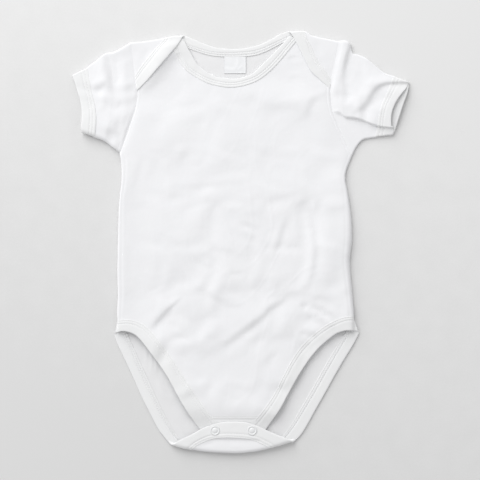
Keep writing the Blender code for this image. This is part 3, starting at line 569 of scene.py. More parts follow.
def ease(value):
    """0 below 0, 1 above 1 and a smooth step between."""
    value = np.clip(value, 0.0, 1.0)
    return value * value * (3 - 2 * value)


def bell(value):
    """1 at 0, dying away on both sides within 2 or so."""
    return np.exp(-value ** 2)


def creased(rows, x, y, fade=CREASE_FADE):
    """Height of all the creases of a table at some points."""
    total = np.zeros(np.broadcast(x, y).shape)
    for row in rows:
        run_x = row.x2 - row.x1
        run_y = row.y2 - row.y1
        length = math.hypot(run_x, run_y)
        share = ((x - row.x1) * run_x + (y - row.y1) * run_y) / length ** 2
        aside = ((y - row.y1) * run_x - (x - row.x1) * run_y) / length
        aside = (aside - row.bow * 4 * share * (1 - share)) / row.width
        weight = ease(share / fade) * ease((1 - share) / fade)
        ridge = row.rise * bell(aside)
        tuck = row.drop * TUCK_PEAK * aside * np.exp(-aside ** 2 / 2)
        total += weight * (ridge - tuck)
    return total


STEP_REACH = 4.5
STEP_STEEP = 1.3
FOLD_STEPS = 80


def folded(rows, x, y):
    """Height of one fold that bends, its width and size given at each of its knots.

    Its drop is a step: the high and the low side run out over several widths.
    """
    line = smooth([[row.x, row.y, row.width, row.rise, row.drop] for row in rows], FOLD_STEPS)
    way = np.gradient(line[:, :2], axis=0)
    way /= np.linalg.norm(way, axis=1)[:, None]
    x, y = np.broadcast_arrays(x, y)
    near = ((x[..., None] - line[:, 0]) ** 2 + (y[..., None] - line[:, 1]) ** 2).argmin(axis=-1)
    aside = way[near, 0] * (y - line[near, 1]) - way[near, 1] * (x - line[near, 0])
    aside = aside / line[near, 2]
    step = np.tanh(STEP_STEEP * aside) * bell(aside / STEP_REACH)
    return line[near, 3] * bell(aside) - line[near, 4] * step


WAVES = 22
BEND = 0.22
BEND_LENGTH = 3.2
MARK_WIDTH = 0.22
WAVE = "seed size height"


def ripples(x, y, seed, size):
    """Uneven waves of about one size, from -1 to 1 or so, bent so that none runs straight."""
    pick = np.random.default_rng(seed)
    swing = math.tau / (size * BEND_LENGTH)
    turns = pick.uniform(0, math.tau, 4)
    sway = np.sin(swing * y + turns[0]) + np.sin(1.7 * swing * x + turns[1])
    heave = np.sin(swing * x + turns[2]) + np.sin(1.7 * swing * y + turns[3])
    x, y = x + BEND * size * sway, y + BEND * size * heave
    total = 0.0
    for _ in range(WAVES):
        way = pick.uniform(0, math.tau)
        beat = math.tau / (size * pick.uniform(0.65, 1.8))
        along = x * math.cos(way) + y * math.sin(way)
        total = total + np.sin(beat * along + pick.uniform(0, math.tau))
    return total / math.sqrt(WAVES / 2)


def press_marks(x, y, seed, size):
    """Thin soft lines where the cloth was once folded small."""
    return bell(ripples(x, y, seed, size) / MARK_WIDTH)


def waves(rows, x, y):
    """All the waves of a table at some points."""
    return sum(row.height * ripples(x, y, row.seed, row.size) for row in rows)


print("one width from its line a crease keeps", round(float(bell(1.0)), 2), "of its height")

# %% Broad forms of the front
FRONT_FORMS = table(
    CREASE,
    (-126, -84, -70, -114, 9, 15, 6.4, 0),       # leg openings that stand up
    (112, -82, 62, -124, -8, 15, -1.2, 0),
    (-76, -110, -46, -152, 0, 15, 2.0, 0),
    (-54, -140, -36, -168, 0, 12, 0.8, 0),
    (50, -138, 34, -166, 0, 12, -1.2, 0),
    (-58, 196, -38, 158, 4, 8, 1.4, 0),          # front neck under the lifted flap
    (-53, 203, -105, 146, 0, 14, 2.8, 0),        # it rises under that flap
    (90, 60, 91, -62, 0, 11, 1.6, 0),            # body puffed beside the right seam
    (-96, 88, -106, 46, -2, 6, 0.6, 0),          # below the left underarm
    (91, 150, 69, 141, 2, 6, 0.5, 0),            # towards the right armhole
    (92, 32, 92, -46, 0, 12, 0.7, 0),
    (-45, -13, 8, -61, -10, 8, -0.5, 0))         # sag in the middle
FORM_FADE = 0.25
print(len(FRONT_FORMS), "broad forms of the front")

# %% Creases of the front
FOLD = "x y width rise drop"

LEG_FOLD = table(
    FOLD,
    (-50, -51, 1.0, 0, 0), (-57, -57, 1.0, -0.2, 0.6), (-64, -63, 1.1, -0.3, 0.9),
    (-70, -69, 1.4, -0.3, 1.2), (-75, -75, 1.9, -0.4, 1.6), (-79, -80, 2.4, -0.4, 1.6),
    (-84, -85.5, 2.6, 0, 0))

SAG_FOLD = table(
    FOLD,
    (10, -61, 4.0, 0, 0), (-5, -59, 4.0, 0, 0.8), (-20, -52, 4.4, 0, 1.0),
    (-36, -44, 4.4, 0, 0.9), (-44, -36, 4.0, 0, 0.6), (-53, -25, 4.0, 0, 0))

LONG_FOLD = table(
    FOLD,
    (52, -52, 3.2, 0, 0), (42, -59, 3.6, 0.1, 0.9), (30, -67, 4.2, 0, 1.0),
    (16, -78, 5.0, 0, 1.1), (2, -89, 6.0, 0, 1.2), (-14, -99, 7.0, 0, 1.2),
    (-32, -108, 8.0, 0, 0.9), (-52, -116, 9.0, 0, 0))

UNDER_FLAP_FOLD = table(
    FOLD,
    (-47, 196, 4.0, 0, 0), (-54, 188, 5.0, 0, 1.2), (-63.5, 178.3, 6.0, 0, 2.0),
    (-73.6, 165.4, 6.5, 0, 2.4),
    (-83.4, 153.5, 6.0, 0, 2.0), (-92, 145, 5.0, 0, 0.9), (-97, 140, 4.0, 0, 0))
FRONT_FOLDS = (LEG_FOLD, SAG_FOLD, LONG_FOLD, UNDER_FLAP_FOLD)

FRONT_CREASES = table(
    CREASE,
    (-57, -57, -86, -84, 0, 4.5, -0.2, 0.6),     # round the sharp fold above the left leg
    (-37, -66, -74, -80, 0, 8, -0.5, 0),
    (-77, -80, -50, -83, 2, 3.6, -0.45, 0),
    (-54, -70, -35, -100, 3, 4.4, 0, 0.55),
    (-40, -92, -62, -112, 0, 9, 0, 0.5),
    (45, -58, -22, -107, 0, 3.6, 0, 0.4),        # on the long fold of the lower front
    (47, -54, 25, -67, 0, 3, 0, 0.35),
    (25, -84, -29, -124, 0, 9, 0.35, 0),
    (25, 63, -71, 54, 2, 3.4, 0, 0.22),          # line pressed across the chest
    (62, 55, 25, 62, 0, 4, 0, 0.14),
    (-90, 89, -103, 46, 0, 3.2, 0, 0.7),         # drag lines from the left underarm
    (-77, 90, -87, 55, 0, 4, 0, 0.25),
    (-101, 88, -108, 65, 0, 2.4, 0.4, 0),
    (-64, 146, -83, 108, 0, 8, 0, 0.4),          # hollow past the left flap
    (-47, 96, -56, 74, 0, 4, 0, 0.24),
    (-27, 92, -39, 74, 0, 4, 0, 0.22),
    (51, 32, 34, -22, 0, 3.6, 0, 0.42),          # upright folds on the right
    (65, 44, 70, -47, 9, 3.4, 0, 0.55),
    (59, 30, 60, 1, 0, 4, 0.3, 0),
    (79, 45, 79, 29, 0, 2.6, 0, 0.35),
    (88, 38, 90, -47, 0, 9, 0.4, 0),
    (-18, -24, -45, -11, 2, 3.2, 0, 0.28),       # bowl-shaped lines of the sag
    (-38, -13, -14, -22, 0, 4, -0.3, 0),
    (-8, -30, 8, -32, 0, 3, -0.25, 0),
    (-31, -69, -17, -77, 0, 5, -0.3, 0),
    (-72, -91, -61, -97, 0, 3.4, -0.3, 0),
    (-57, -91, -41, -95, 0, 3, -0.3, 0),
    (-85, -50, -67, -40, 0, 1.6, 0, 0.22),
    (-73, -52, -59, -55, 0, 4, -0.25, 0),
    (25, 12, 2, 23, 0, 2.8, 0, 0.3),
    (2, 15, 22, 5, 0, 3, 0.25, 0),
    (36, -33, 25, -45, 0, 4.5, -0.35, 0),
    (46, -42, 38, -49, 0, 3, -0.25, 0),
    (95, -74, 75, -57, 0, 2.8, 0, 1.0),          # small creases at the right hip
    (85, -80, 69, -66, 0, 3.4, 0, 0.85),
    (78, -91, 62, -83, 0, 3, 0, 0.7),
    (70, -58, 64, -65, 0, 3, -0.5, 0),
    (101, -58, 102, -76, 0, 3.4, -0.4, 0),
    (84, -72, 96, -82, 0, 2.4, 0.4, 0),
    (46, -57, 46, -88, 0, 4.5, 0.4, 0),
    (70, -62, 46, -90, 0, 8, 0, 0.55),
    (68, -47, 94, -55, 0, 4, 0.4, 0),
    (61, -58, 71, -65, 0, 3, -0.4, 0),
    (-35, -139, -50, -122, 0, 4, 0, -0.3),       # beside the leg bindings
    (38, -101, 26, -122, 0, 4.5, 0, 0.4),
    (-50, -86, -71, -97, 0, 3.6, 0, 0.32),
    (81, 148, 68, 117, -3, 2.8, 0, 0.6),         # pull from the right armhole
    (91, 150, 71, 138, 0, 3, 0.4, 0),
    (65, 183, 47, 180, 0, 2.4, 0, 0.5),          # under the right flap
    (67, 161, 47, 161, 0, 3, 0, 0.22),
    (-104, 2, -106, -54, 0, 2.8, 0, 0.6),        # inside the left side seam
    (-99, -18, -101, -55, 0, 5, 0, 0.2))
print(len(FRONT_FORMS) + len(FRONT_CREASES), "creases on the front")

# %% Creases of the flaps, the tab and the inside of the back
FLAP_CREASES = table(
    CREASE,
    (-82, 193, -92, 172, 0, 4, -0.35, 0),
    (-72, 197, -84, 183, 0, 3, 0, 0.3),
    (-92, 190, -97, 160, 0, 3, 0.3, 0),
    (84, 192, 96, 165, 2, 4, 0.35, 0),
    (76, 196, 82, 178, 0, 3.5, -0.3, 0),
    (100, 190, 96, 168, 0, 3, 0, 0.3))

TAB_SLIT = table(
    FOLD,
    (26, -190.6, 1.2, 0, 0), (18, -190.2, 1.2, 0, 0.6), (0, -189.4, 1.3, -0.2, 0.9),
    (-18, -189.4, 1.2, -0.2, 0.8), (-28, -190.6, 1.2, 0, 0))

TAB_CREASES = table(
    CREASE,
    (-34, -197, -20, -193, 0, 2.5, -0.4, 0),
    (22, -196, 36, -199, 0, 2.5, -0.4, 0),
    (-6, -200, 6, -196, 0, 4, 0.3, 0))

BACK_CREASES = table(
    CREASE,
    (-82, -98, -82, -130, 0, 1.6, 1.0, 0),       # small upright folds in the left leg opening
    (-77, -104, -78, -130, 1, 2.0, 0.7, 0.4),
    (-87, -96, -86, -122, 0, 2.0, 0.7, 0),
    (-76, -132, -66, -152, 0, 2.6, 0.6, 0.3),
    (-70, -144, -58, -156, 0, 3.0, 0.5, 0),
    (-64, -160, -48, -176, 0, 4, 0.4, 0),
    (72, -128, 60, -150, 0, 3.5, 0.4, 0),
    (56, -152, 46, -172, 0, 4, 0.4, 0),
    (-30, 176, -12, 172, 0, 4, 0.3, 0),
    (14, 176, 30, 182, 0, 4, 0.3, 0))
print(len(FLAP_CREASES) + len(TAB_CREASES) + len(BACK_CREASES), "more on flaps, tab and back")

# %% [markdown]
# ## Laying the front
# The front lies on the back. It is low along the side seams, where it is sewn down, and
# stands a few millimetres clear in the middle, because two layers of soft knit hold air.

# %% Height of the front
CLOTH = 1.0               # what a layer takes up
WALL = 0.9                # its own thickness
GAP = 0.3
SOFT_FLOOR = 0.2          # how softly the front comes to lie on the back
SHOULDER_ROLL = 1.8
PRESSED = 0.5             # how far the shoulder fold stands out, as a share of its radius
CROTCH_ROLL = 3.0
SEAM_SLACK = {"left": 40.0, "right": 9.0}
ARM_SLACK = 14.0
BINDING_RISE = 0.9
UNDERARM_Y = 84.0
CHEST_Y = 90.0
CREASE_SIZE = 1.5
ROLL = {"left": table(POINT, (-90, 3.2), (-40, 4.0), (40, 3.6), (84, 2.0), (120, 1.4)),
        "right": table(POINT, (-80, 3.4), (-40, 4.6), (0, 4.6), (30, 3.8), (60, 2.8), (84, 2.4))}
ROLL_REACH = {"left": 14.0, "right": 16.0}
ROLL_TOP = {"left": 152.0, "right": UNDERARM_Y}
ROLL_TURN = {"left": table(POINT, (-80, 0.15), (84, 0.15), (98, 2.8)),
             "right": table(POINT, (-80, 1.2), (0, 1.2), (45, 0.4), (84, 0.4))}
ROLL_RUNOUT = 26.0
HIP_Y = -50.0
HIP_REACH = 18.0
CROTCH_Y = -178.0
CROTCH_REACH = 24.0
BROAD_WAVES = table(WAVE, (3, 55, 0.6))
FINE_WAVES = table(WAVE, (4, 24, 0.27), (6, 11, 0.05))
PRESS_MARKS = table(WAVE, (5, 70, 0.15))[0]

FLAP_SETTLE = 1.3
FLAP_SETTLE_REACH = 20.0
FLAP_LIFT = 4.2
FLAP_LIFT_X = -73.0
FLAP_LIFT_SPREAD = 18.0
FLAP_LIFT_REACH = 19.0
SEAM_TURN = 0.9
FLAP_DOWN = 0.3           # a flap dips to its armhole seam on the left
FLAP_ROOM = 1.9           # room for both layers and their bindings
FLAP_ROOM_Y = 146.0
FLAP_ROOM_REACH = 20.0
FLAP_WAVES = table(WAVE, (8, 22, 0.1))

RISE_POINTS = table(
    POINT,
    (-190, 0.0), (-181, 0.0), (-178, 0.2), (-174, 1.3), (-169, 3.2), (-164, 4.5), (-157, 5.1),
    (-145, 4.7), (-120, 4.2), (-100, 3.7), (-40, 2.8), (40, 2.2), (110, 1.5), (150, 0.6),
    (175, 0.1), (200, 0.0))
FRONT_RISE = smooth(knots(RISE_POINTS), 300)
SHOULDER = np.vstack([smooth(knots(SHOULDER_TOP[:SHOULDER_SPLIT]), 80),
                      smooth(knots(SHOULDER_TOP[SHOULDER_SPLIT:]), 80)])
LEFT_EDGE = smooth(knots(SIDE_LEFT + ARMHOLE_LEFT), 300)
RIGHT_EDGE = smooth(knots(SIDE_RIGHT + ARMHOLE_RIGHT), 300)
FLAP_TIP = knots(FLAP_LEFT, "edge_")[-1]
FLAP_WAY = FLAP_TIP - knots(FLAP_LEFT, "edge_")[0]
FLAP_WAY /= np.linalg.norm(FLAP_WAY)


def read(line, at):
    """The second column of a line of points, read at values of its first."""
    return np.interp(at, line[:, 0], line[:, 1])


def edge_at(edge, y):
    """X of a side of the body at some heights."""
    return np.interp(y, edge[:, 1], edge[:, 0])


def slack(x, y):
    """0 at a side seam, rising to 1 where the front is free of the back."""
    reach = SEAM_SLACK["left"] + (ARM_SLACK - SEAM_SLACK["left"]) * ease((y - UNDERARM_Y + 20) / 40)
    left = (x - edge_at(LEFT_EDGE, y)) / reach
    right = (edge_at(RIGHT_EDGE, y) - x) / SEAM_SLACK["right"]
    return 1 - np.exp(-np.maximum(0.0, np.minimum(left, right)))


def shoulder_line(x):
    """Where the back starts to fold over at the shoulder."""
    return read(SHOULDER, x) - PRESSED * (SHOULDER_ROLL + CLOTH / 2)


def flap_height(x, y):
    """How far a shoulder flap stands above, or lies below, the top of its fold."""
    from_fold = shoulder_line(x) - y
    settle = FLAP_SETTLE * (1 - slack(x, y)) * ease(from_fold / FLAP_SETTLE_REACH)
    bulge = bell((x - FLAP_LIFT_X) / FLAP_LIFT_SPREAD)
    inside = (FLAP_TIP[0] - x) * FLAP_WAY[1] - (FLAP_TIP[1] - y) * FLAP_WAY[0]
    lift = FLAP_LIFT * bulge * ease(1 - inside / FLAP_LIFT_REACH) * ease(from_fold / 9.0)
    creases = creased(FLAP_CREASES, x, y) + waves(FLAP_WAVES, x, y)
    turned_down = FLAP_DOWN * bell((x - edge_at(LEFT_EDGE, y)) / SEAM_TURN)
    return lift - settle + creases * ease(from_fold / 6.0) - turned_down * ease(from_fold / 3.0)


def front_height(x, y):
    """Height of the middle of the front's wall; under the flaps it keeps below them."""
    at_leg = ease((HIP_Y - y) / HIP_REACH)
    seam = CLOTH + GAP + CLOTH / 2 + BINDING_RISE * at_leg
    free = BINDING_RISE * (1 - at_leg) + read(FRONT_RISE, y)
    loose = ease((y - CROTCH_Y) / CROTCH_REACH)
    creases = creased(FRONT_FORMS, x, y, FORM_FADE) + CREASE_SIZE * creased(FRONT_CREASES, x, y)
    for fold in FRONT_FOLDS:
        creases += folded(fold, x, y)
    belly = 0.7 + 0.5 * ease((CHEST_Y - y) / 60.0)
    marks = PRESS_MARKS.height * press_marks(x, y, PRESS_MARKS.seed, PRESS_MARKS.size)
    creases += waves(BROAD_WAVES, x, y) + belly * (waves(FINE_WAVES, x, y) + marks)
    height = seam + side_roll(x, y) + slack(x, y) * (free + loose * creases)
    room = CLOTH / 2 + 2 * SHOULDER_ROLL + flap_height(x, y) - FLAP_ROOM
    height = height - np.maximum(0.0, height - room) * ease((y - FLAP_ROOM_Y) / FLAP_ROOM_REACH)
    over = height - (CLOTH + GAP + CLOTH / 2)
    return height - over / 2 + np.sqrt(over ** 2 + SOFT_FLOOR ** 2) / 2


def side_roll(x, y):
    """The soft roll of the folded cloth along each side; on the left it runs up the armhole."""
    height = np.zeros(np.broadcast(x, y).shape)
    for side, edge, way in (("left", LEFT_EDGE, 1), ("right", RIGHT_EDGE, -1)):
        inward = np.maximum(0.0, way * (x - edge_at(edge, y)))
        turn = read(knots(ROLL_TURN[side]), y)
        roll = (1 - np.exp(-inward / turn)) * bell(inward / ROLL_REACH[side])
        height += read(knots(ROLL[side]), y) * roll * ease((ROLL_TOP[side] - y) / ROLL_RUNOUT)
    return height


def front_place(x, y, h):
    return np.stack([x, y, front_height(x, y) + h], axis=-1)


print("front is", round(float(front_height(np.array(0.0), np.array(0.0))), 1), "mm up in the middle")

# %% [markdown]
# ## Laying and folding the back
# The back is one piece with the shoulder flaps and the crotch tab. It lies flat on the
# table, then rolls round at the shoulders and at the crotch, and those ends come to lie on the
# front. A point of the pattern past a fold line is carried round the roll, and the rest
# of its way is laid back over the body.

# %% Place of the back
SNAP_CENTRES = {"left": (-20.4, -181.4), "right": (15.5, -181.4)}
SNAP_DIMPLE = 0.45
SNAP_DIMPLE_REACH = 6.5
TAB_WAVES = table(WAVE, (9, 16, 0.08))
BACK_WAVES = table(WAVE, (7, 26, 0.06))
BACK_LIFT = 0.06          # the wall is thinner than the room for it, and the table is flat

CROTCH = smooth(knots(CROTCH_FOOT), 160)


def crotch_line(x):
    """Where the back starts to fold up into the crotch tab."""
    return read(CROTCH, x) + CROTCH_ROLL + CLOTH / 2


def rolled(line, run, h, radius, way, pressed=1.0):
    """Y and Z of points that lie run past a fold line, on the roll or on the layer above."""
    angle = np.clip(run / radius, 0.0, math.pi)
    reach = radius - h
    past = np.maximum(run - math.pi * radius, 0.0)
    y = line + way * (pressed * reach * np.sin(angle) - past)
    return y, radius - reach * np.cos(angle)


def tab_height(x, y):
    """Creases of the crotch tab, and the dimples that its press studs hold down."""
    height = creased(TAB_CREASES, x, y) + folded(TAB_SLIT, x, y) + waves(TAB_WAVES, x, y)
    for snap_x, snap_y in SNAP_CENTRES.values():
        away = np.hypot(x - snap_x, y - snap_y)
        height = height - SNAP_DIMPLE * bell(away / SNAP_DIMPLE_REACH)
    return height


def back_place(x, y, h):
    """Points of the back in space; h is measured from the middle of its wall to the inside."""
    top = shoulder_line(x)
    foot = crotch_line(x)
    top_y, top_z = rolled(top, y - top, h, SHOULDER_ROLL, 1, PRESSED)
    foot_y, foot_z = rolled(foot, foot - y, h, CROTCH_ROLL, -1)
    top_z = top_z + flap_height(x, top_y)
    foot_z = foot_z + tab_height(x, foot_y) * ease((foot_y - foot) / 4.0)
    soft = creased(BACK_CREASES, x, y) + BACK_LIFT + waves(BACK_WAVES, x, y)
    inside = np.exp(-np.maximum(0.0, 6.0 - np.minimum(top - y, y - foot)) / 2.0)
    lying = h + np.maximum(soft, 0.0) * inside
    place_y = np.where(y > top, top_y, np.where(y < foot, foot_y, y))
    place_z = np.where(y > top, top_z, np.where(y < foot, foot_z, lying))
    return np.stack([x, place_y, CLOTH / 2 + place_z], axis=-1)


def unfold(points, line_of, radius, way):
    """Points of a folded end as it lies, taken back to the flat pattern."""
    flat = []
    for x, y in points:
        line = float(line_of(x))
        past = way * (y - line)
        over = min(1.0, max(0.0, past / radius))
        run = math.pi * radius - radius * math.asin(over) + max(0.0, -past)
        flat.append((x, line + way * run))
    return np.array(flat)


print("shoulder fold at", round(float(shoulder_line(-80.0))), "mm, crotch fold at",
      round(float(crotch_line(0.0))), "mm")

# %% [markdown]
# ## From grids to cloth
# A cut piece is a grid of pattern points between its four sides. The grid is placed in space
# and joined with quads; a Solidify modifier then gives the layer its thickness. Tubes and
# bindings close round on themselves, so their grids wrap.

# %% Grids between sewing lines


def share_across(*lines):
    """How far across each column lies, as the mean of some lines."""
    return sum((line[:, 0] - line[0, 0]) / (line[-1, 0] - line[0, 0]) for line in lines) / len(lines)


def patch(left, right, bottom, top, shares):
    """A grid between four sides: rows run from bottom to top, columns from left to right."""
    v = np.linspace(0, 1, len(left))[:, None, None]
    u = shares[None, :, None]
    upright = (1 - v) * bottom[None] + v * top[None]
    across = (1 - u) * left[:, None] + u * right[:, None]
    foot = (1 - u) * bottom[0] + u * bottom[-1]
    head = (1 - u) * top[0] + u * top[-1]
    return upright + across - (1 - v) * foot - v * head


def bordered(length, band, fine, spans):
    """Shares of a length: fine steps over a band at its start, then even ones."""
    near = band / length * np.linspace(0, 1, fine + 1) ** 1.5
    far = np.linspace(band / length, 1, spans + 1)[1:]
    return np.concatenate([near, far])


def spread(start, end, rows, power=1.0):
    """A grid from one line to another; above 1, the power crowds the rows near the first."""
    shares = (np.arange(rows + 1) / rows) ** power
    return np.array([start + (end - start) * share for share in shares])


def lapped(inner, edge, shares, lap):
    """The two lines of a binding drawn smooth, the inner one moved out by a lap."""
    inner, edge = smooth(inner, shares), smooth(edge, shares)
    way = edge - inner
    return inner + way * lap / np.linalg.norm(way, axis=1)[:, None], edge


def strip_lines(rows, shares, lap=0.0):
    return lapped(knots(rows, "inner_"), knots(rows, "edge_"), shares, lap)


print("grids ready")

# %% Meshes from grids
WELD = 0.02


def mapped(name, places, faces, cuts, cut_faces):
    """A mesh from places in millimetres, with its map of the cut."""
    mesh = bpy.data.meshes.new(name)
    mesh.from_pydata((places * MM).tolist(), [], faces)
    order = [number for face in cut_faces for number in face]
    mesh.uv_layers.new(name="cut").data.foreach_set("uv", cuts[order].ravel())
    return mesh


def shown(name, mesh, material):
    """A visible piece of the garment."""
    mesh.materials.append(material)
    mesh.shade_smooth()
    piece = put(name, mesh)
    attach(piece, "root")
    return piece


def made_up(name, node, grids, material, ring=False, closed=False, looped=False, wall=0.0):
    """A piece from grids of places and of cut points, welded where the grids meet.

    The rows of a ring wrap. Its two ends are open, closed with a face, or looped on each other.
    """
    places, cuts, faces, cut_faces = [], [], [], []
    corner = cut_corner = 0
    for place, cut in grids:
        rows, columns = place.shape[:2]
        index = corner + np.arange(rows * columns).reshape(rows, columns)
        if ring:
            index = np.hstack([index, index[:, :1]])
        cut_index = cut_corner + np.arange(cut.shape[0] * cut.shape[1]).reshape(cut.shape[:2])
        for grid, found in ((index, faces), (cut_index, cut_faces)):
            found += np.stack([grid[:-1, :-1], grid[:-1, 1:], grid[1:, 1:], grid[1:, :-1]],
                              axis=-1).reshape(-1, 4).tolist()
        if closed:
            for grid, found in ((index, faces), (cut_index, cut_faces)):
                found += [grid[0, :columns][::-1].tolist(), grid[-1, :columns].tolist()]
        places.append(place.reshape(-1, 3))
        cuts.append(cut.reshape(-1, 2))
        corner += rows * columns
        cut_corner += cut.shape[0] * cut.shape[1]
    mesh = mapped(name, np.vstack(places), faces, np.vstack(cuts) * MM, cut_faces)
    body = bmesh.new()
    body.from_mesh(mesh)
    if len(grids) > 1 or looped:
        bmesh.ops.remove_doubles(body, verts=body.verts, dist=WELD * MM)
    if closed or looped:
        bmesh.ops.recalc_face_normals(body, faces=body.faces)
        if body.calc_volume(signed=True) < 0:
            bmesh.ops.reverse_faces(body, faces=body.faces)
    body.edges.index_update()
    rims = [edge.index for edge in body.edges if edge.is_boundary]
    body.to_mesh(mesh)
    body.free()
    piece = shown(name, mesh, material)
    for index in rims:
        mesh.edges[index].use_edge_sharp = True
    if wall:
        layer_wall = piece.modifiers.new("Wall", "SOLIDIFY")
        layer_wall.thickness = wall * MM
        layer_wall.offset = 0.0
    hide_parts(node)
    print(name, len(mesh.polygons), "faces")
    return piece


def cut_size(grid):
    """Width, length and area of a flat pattern grid, in metres and square metres."""
    low = grid.reshape(-1, 2).min(axis=0)
    high = grid.reshape(-1, 2).max(axis=0)
    side = grid[1:, 1:] - grid[:-1, :-1]
    other = grid[1:, :-1] - grid[:-1, 1:]
    area = abs(side[..., 0] * other[..., 1] - side[..., 1] * other[..., 0]).sum() / 2
    return (high - low) * MM, area * MM * MM


print("meshes ready, welded within", WELD, "mm")

# %% [markdown]
# ## The front
# Its pattern lies between the side seams, the armholes, the neck binding and the leg bindings.
# Columns of the grid crowd at both sides, where the seams need fine relief: a side seam
# is a groove a few millimetres in from the folded edge, and an armhole seam is a ridge, because
# its allowance is turned in to the body.

# %% Pattern of the front
SEAM_BAND = 8.0
BAND_COLUMNS = 13
LEG_COLUMNS = 66
CROTCH_COLUMNS = 24
SHOULDER_COLUMNS = 8
SIDE_ROWS = 150
ARM_ROWS = 84
LAP = 1.5                 # how far a panel goes into its binding
FRONT_TUCK = 0.6
LEG_LENGTH = 150.0


def side_line(side, armhole, top, foot, rows, arm_rows):
    """The side of a body piece from the leg opening up to the shoulder."""
    seam = smooth(np.vstack([foot, knots(side)[1:], knots(armhole)[:1]]), rows)
    arm = smooth(np.vstack([knots(armhole)[:-1], top]), arm_rows)
    return joined(seam, arm)


def front_pattern():
    leg = bordered(LEG_LENGTH, SEAM_BAND, BAND_COLUMNS, LEG_COLUMNS)
    leg_left = strip_lines(FRONT_LEG_LEFT, leg, LAP)[0]
    leg_right = strip_lines(FRONT_LEG_RIGHT, leg, LAP)[0][::-1]
    crotch = np.linspace(leg_left[-1], leg_right[0], CROTCH_COLUMNS + 1)
    neck_spans = 2 * LEG_COLUMNS + CROTCH_COLUMNS - 2 * SHOULDER_COLUMNS
    neck = strip_lines(FRONT_NECK, neck_spans, LAP)[0]
    corners, shoulders = [], []
    for armhole, end in ((ARMHOLE_LEFT, neck[0]), (ARMHOLE_RIGHT, neck[-1])):
        x = armhole[-1].x
        corners.append(np.array([x, shoulder_line(x) - FRONT_TUCK]))
        way = end - corners[-1]
        shares = bordered(float(np.linalg.norm(way)), SEAM_BAND, BAND_COLUMNS, SHOULDER_COLUMNS)
        shoulders.append(corners[-1] + way * shares[:, None])
    left = side_line(SIDE_LEFT, ARMHOLE_LEFT, corners[0], leg_left[0], SIDE_ROWS, ARM_ROWS)
    right = side_line(SIDE_RIGHT, ARMHOLE_RIGHT, corners[1], leg_right[-1], SIDE_ROWS, ARM_ROWS)
    bottom = joined(leg_left, crotch, leg_right)
    top = joined(shoulders[0], neck, shoulders[1][::-1])
    return patch(left, right, bottom, top, share_across(bottom, top))


print("front grid:", BAND_COLUMNS + LEG_COLUMNS, "columns along each leg")

# %% Relief of the seams
SEAM = "y depth inside"
SIDE_SEAM = {
    "left": table(SEAM, (-80, 0.5, 3.0), (-45, 0.9, 3.6), (0, 0.6, 3.4), (44, 0.7, 2.2),
                  (60, 0.9, 3.0), (80, 0.6, 4.0)),
    "right": table(SEAM, (-80, 0.8, 3.5), (-30, 0.8, 5.0), (0, 0.7, 6.5), (30, 0.5, 5.5),
                   (55, 0.3, 3.0), (80, 0.3, 2.5))}
RELIEF = "reach width height"
SEAM_GROOVE = table(RELIEF, (0, 0.8, -0.30), (2.2, 1.3, 0.14))
ARM_SEAM = table(RELIEF, (1.7, 0.8, 0.5), (3.3, 0.6, -0.3))
ARM_LIFT_REACH = 16.0
ARM_LIFT = {"left": 0.7, "right": 0.9}
TURN_DOWN = {"left": 0.3, "right": 0.55}
ARM_DOWN = {"left": 0.35, "right": 0.1}
ARM_RIDGE = {"left": 0.25, "right": 0.8}


def bands(rows, away):
    """Relief of a table of bands that run beside a seam."""
    return sum(row.height * bell((away - row.reach) / row.width) for row in rows)


def seam_relief(grid, side):
    """Lift of the front beside its side seam and its armhole seam."""
    border = grid[:, :1] if side == "left" else grid[:, -1:]
    away = np.linalg.norm(grid - border, axis=-1)
    height = border[..., 1]
    seam = np.array(SIDE_SEAM[side])
    inside = np.interp(height, seam[:, 0], seam[:, 2])
    groove = bands(SEAM_GROOVE, away - inside) * np.interp(height, seam[:, 0], seam[:, 1])
    at_arm = ease((height - UNDERARM_Y + 4.0) / 10.0)
    deep = TURN_DOWN[side] + (ARM_DOWN[side] - TURN_DOWN[side]) * at_arm
    turn_down = -deep * bell(away / 0.6)
    ridge = ARM_RIDGE[side] * bands(ARM_SEAM, away)
    lift = ARM_LIFT[side] * bell(away / ARM_LIFT_REACH) * ease((height - UNDERARM_Y) / 50.0)
    return (1 - at_arm) * groove + turn_down + at_arm * ridge + lift


print("right side seam lies", SIDE_SEAM["right"][2].inside, "mm in at the waist")

# %% The front, laid
front_grid = front_pattern()
front_places = front_place(front_grid[..., 0], front_grid[..., 1], 0.0)
front_places[..., 2] += seam_relief(front_grid, "left") + seam_relief(front_grid, "right")
front = made_up("front", "front_panel", [(front_places, front_grid)], jersey, wall=WALL)
front_size, front_area = cut_size(front_grid)
print("front cut", front_size.round(3), "m", round(front_area, 4), "m2")

# %% [markdown]
# ## The back
# Four grids welded into one cloth: the body, the two shoulder flaps and the crotch tab. The
# rows of the folded ends crowd near their fold, so that it turns smoothly.

# %% Sewing lines of the back in its flat pattern
BACK_SHOULDER = 24
BACK_LEG = 44
BACK_TAB = 44
FINE_SHOULDER = 140
FINE_NECK = 240
FINE_LEG = 230
FINE_TAB = 190


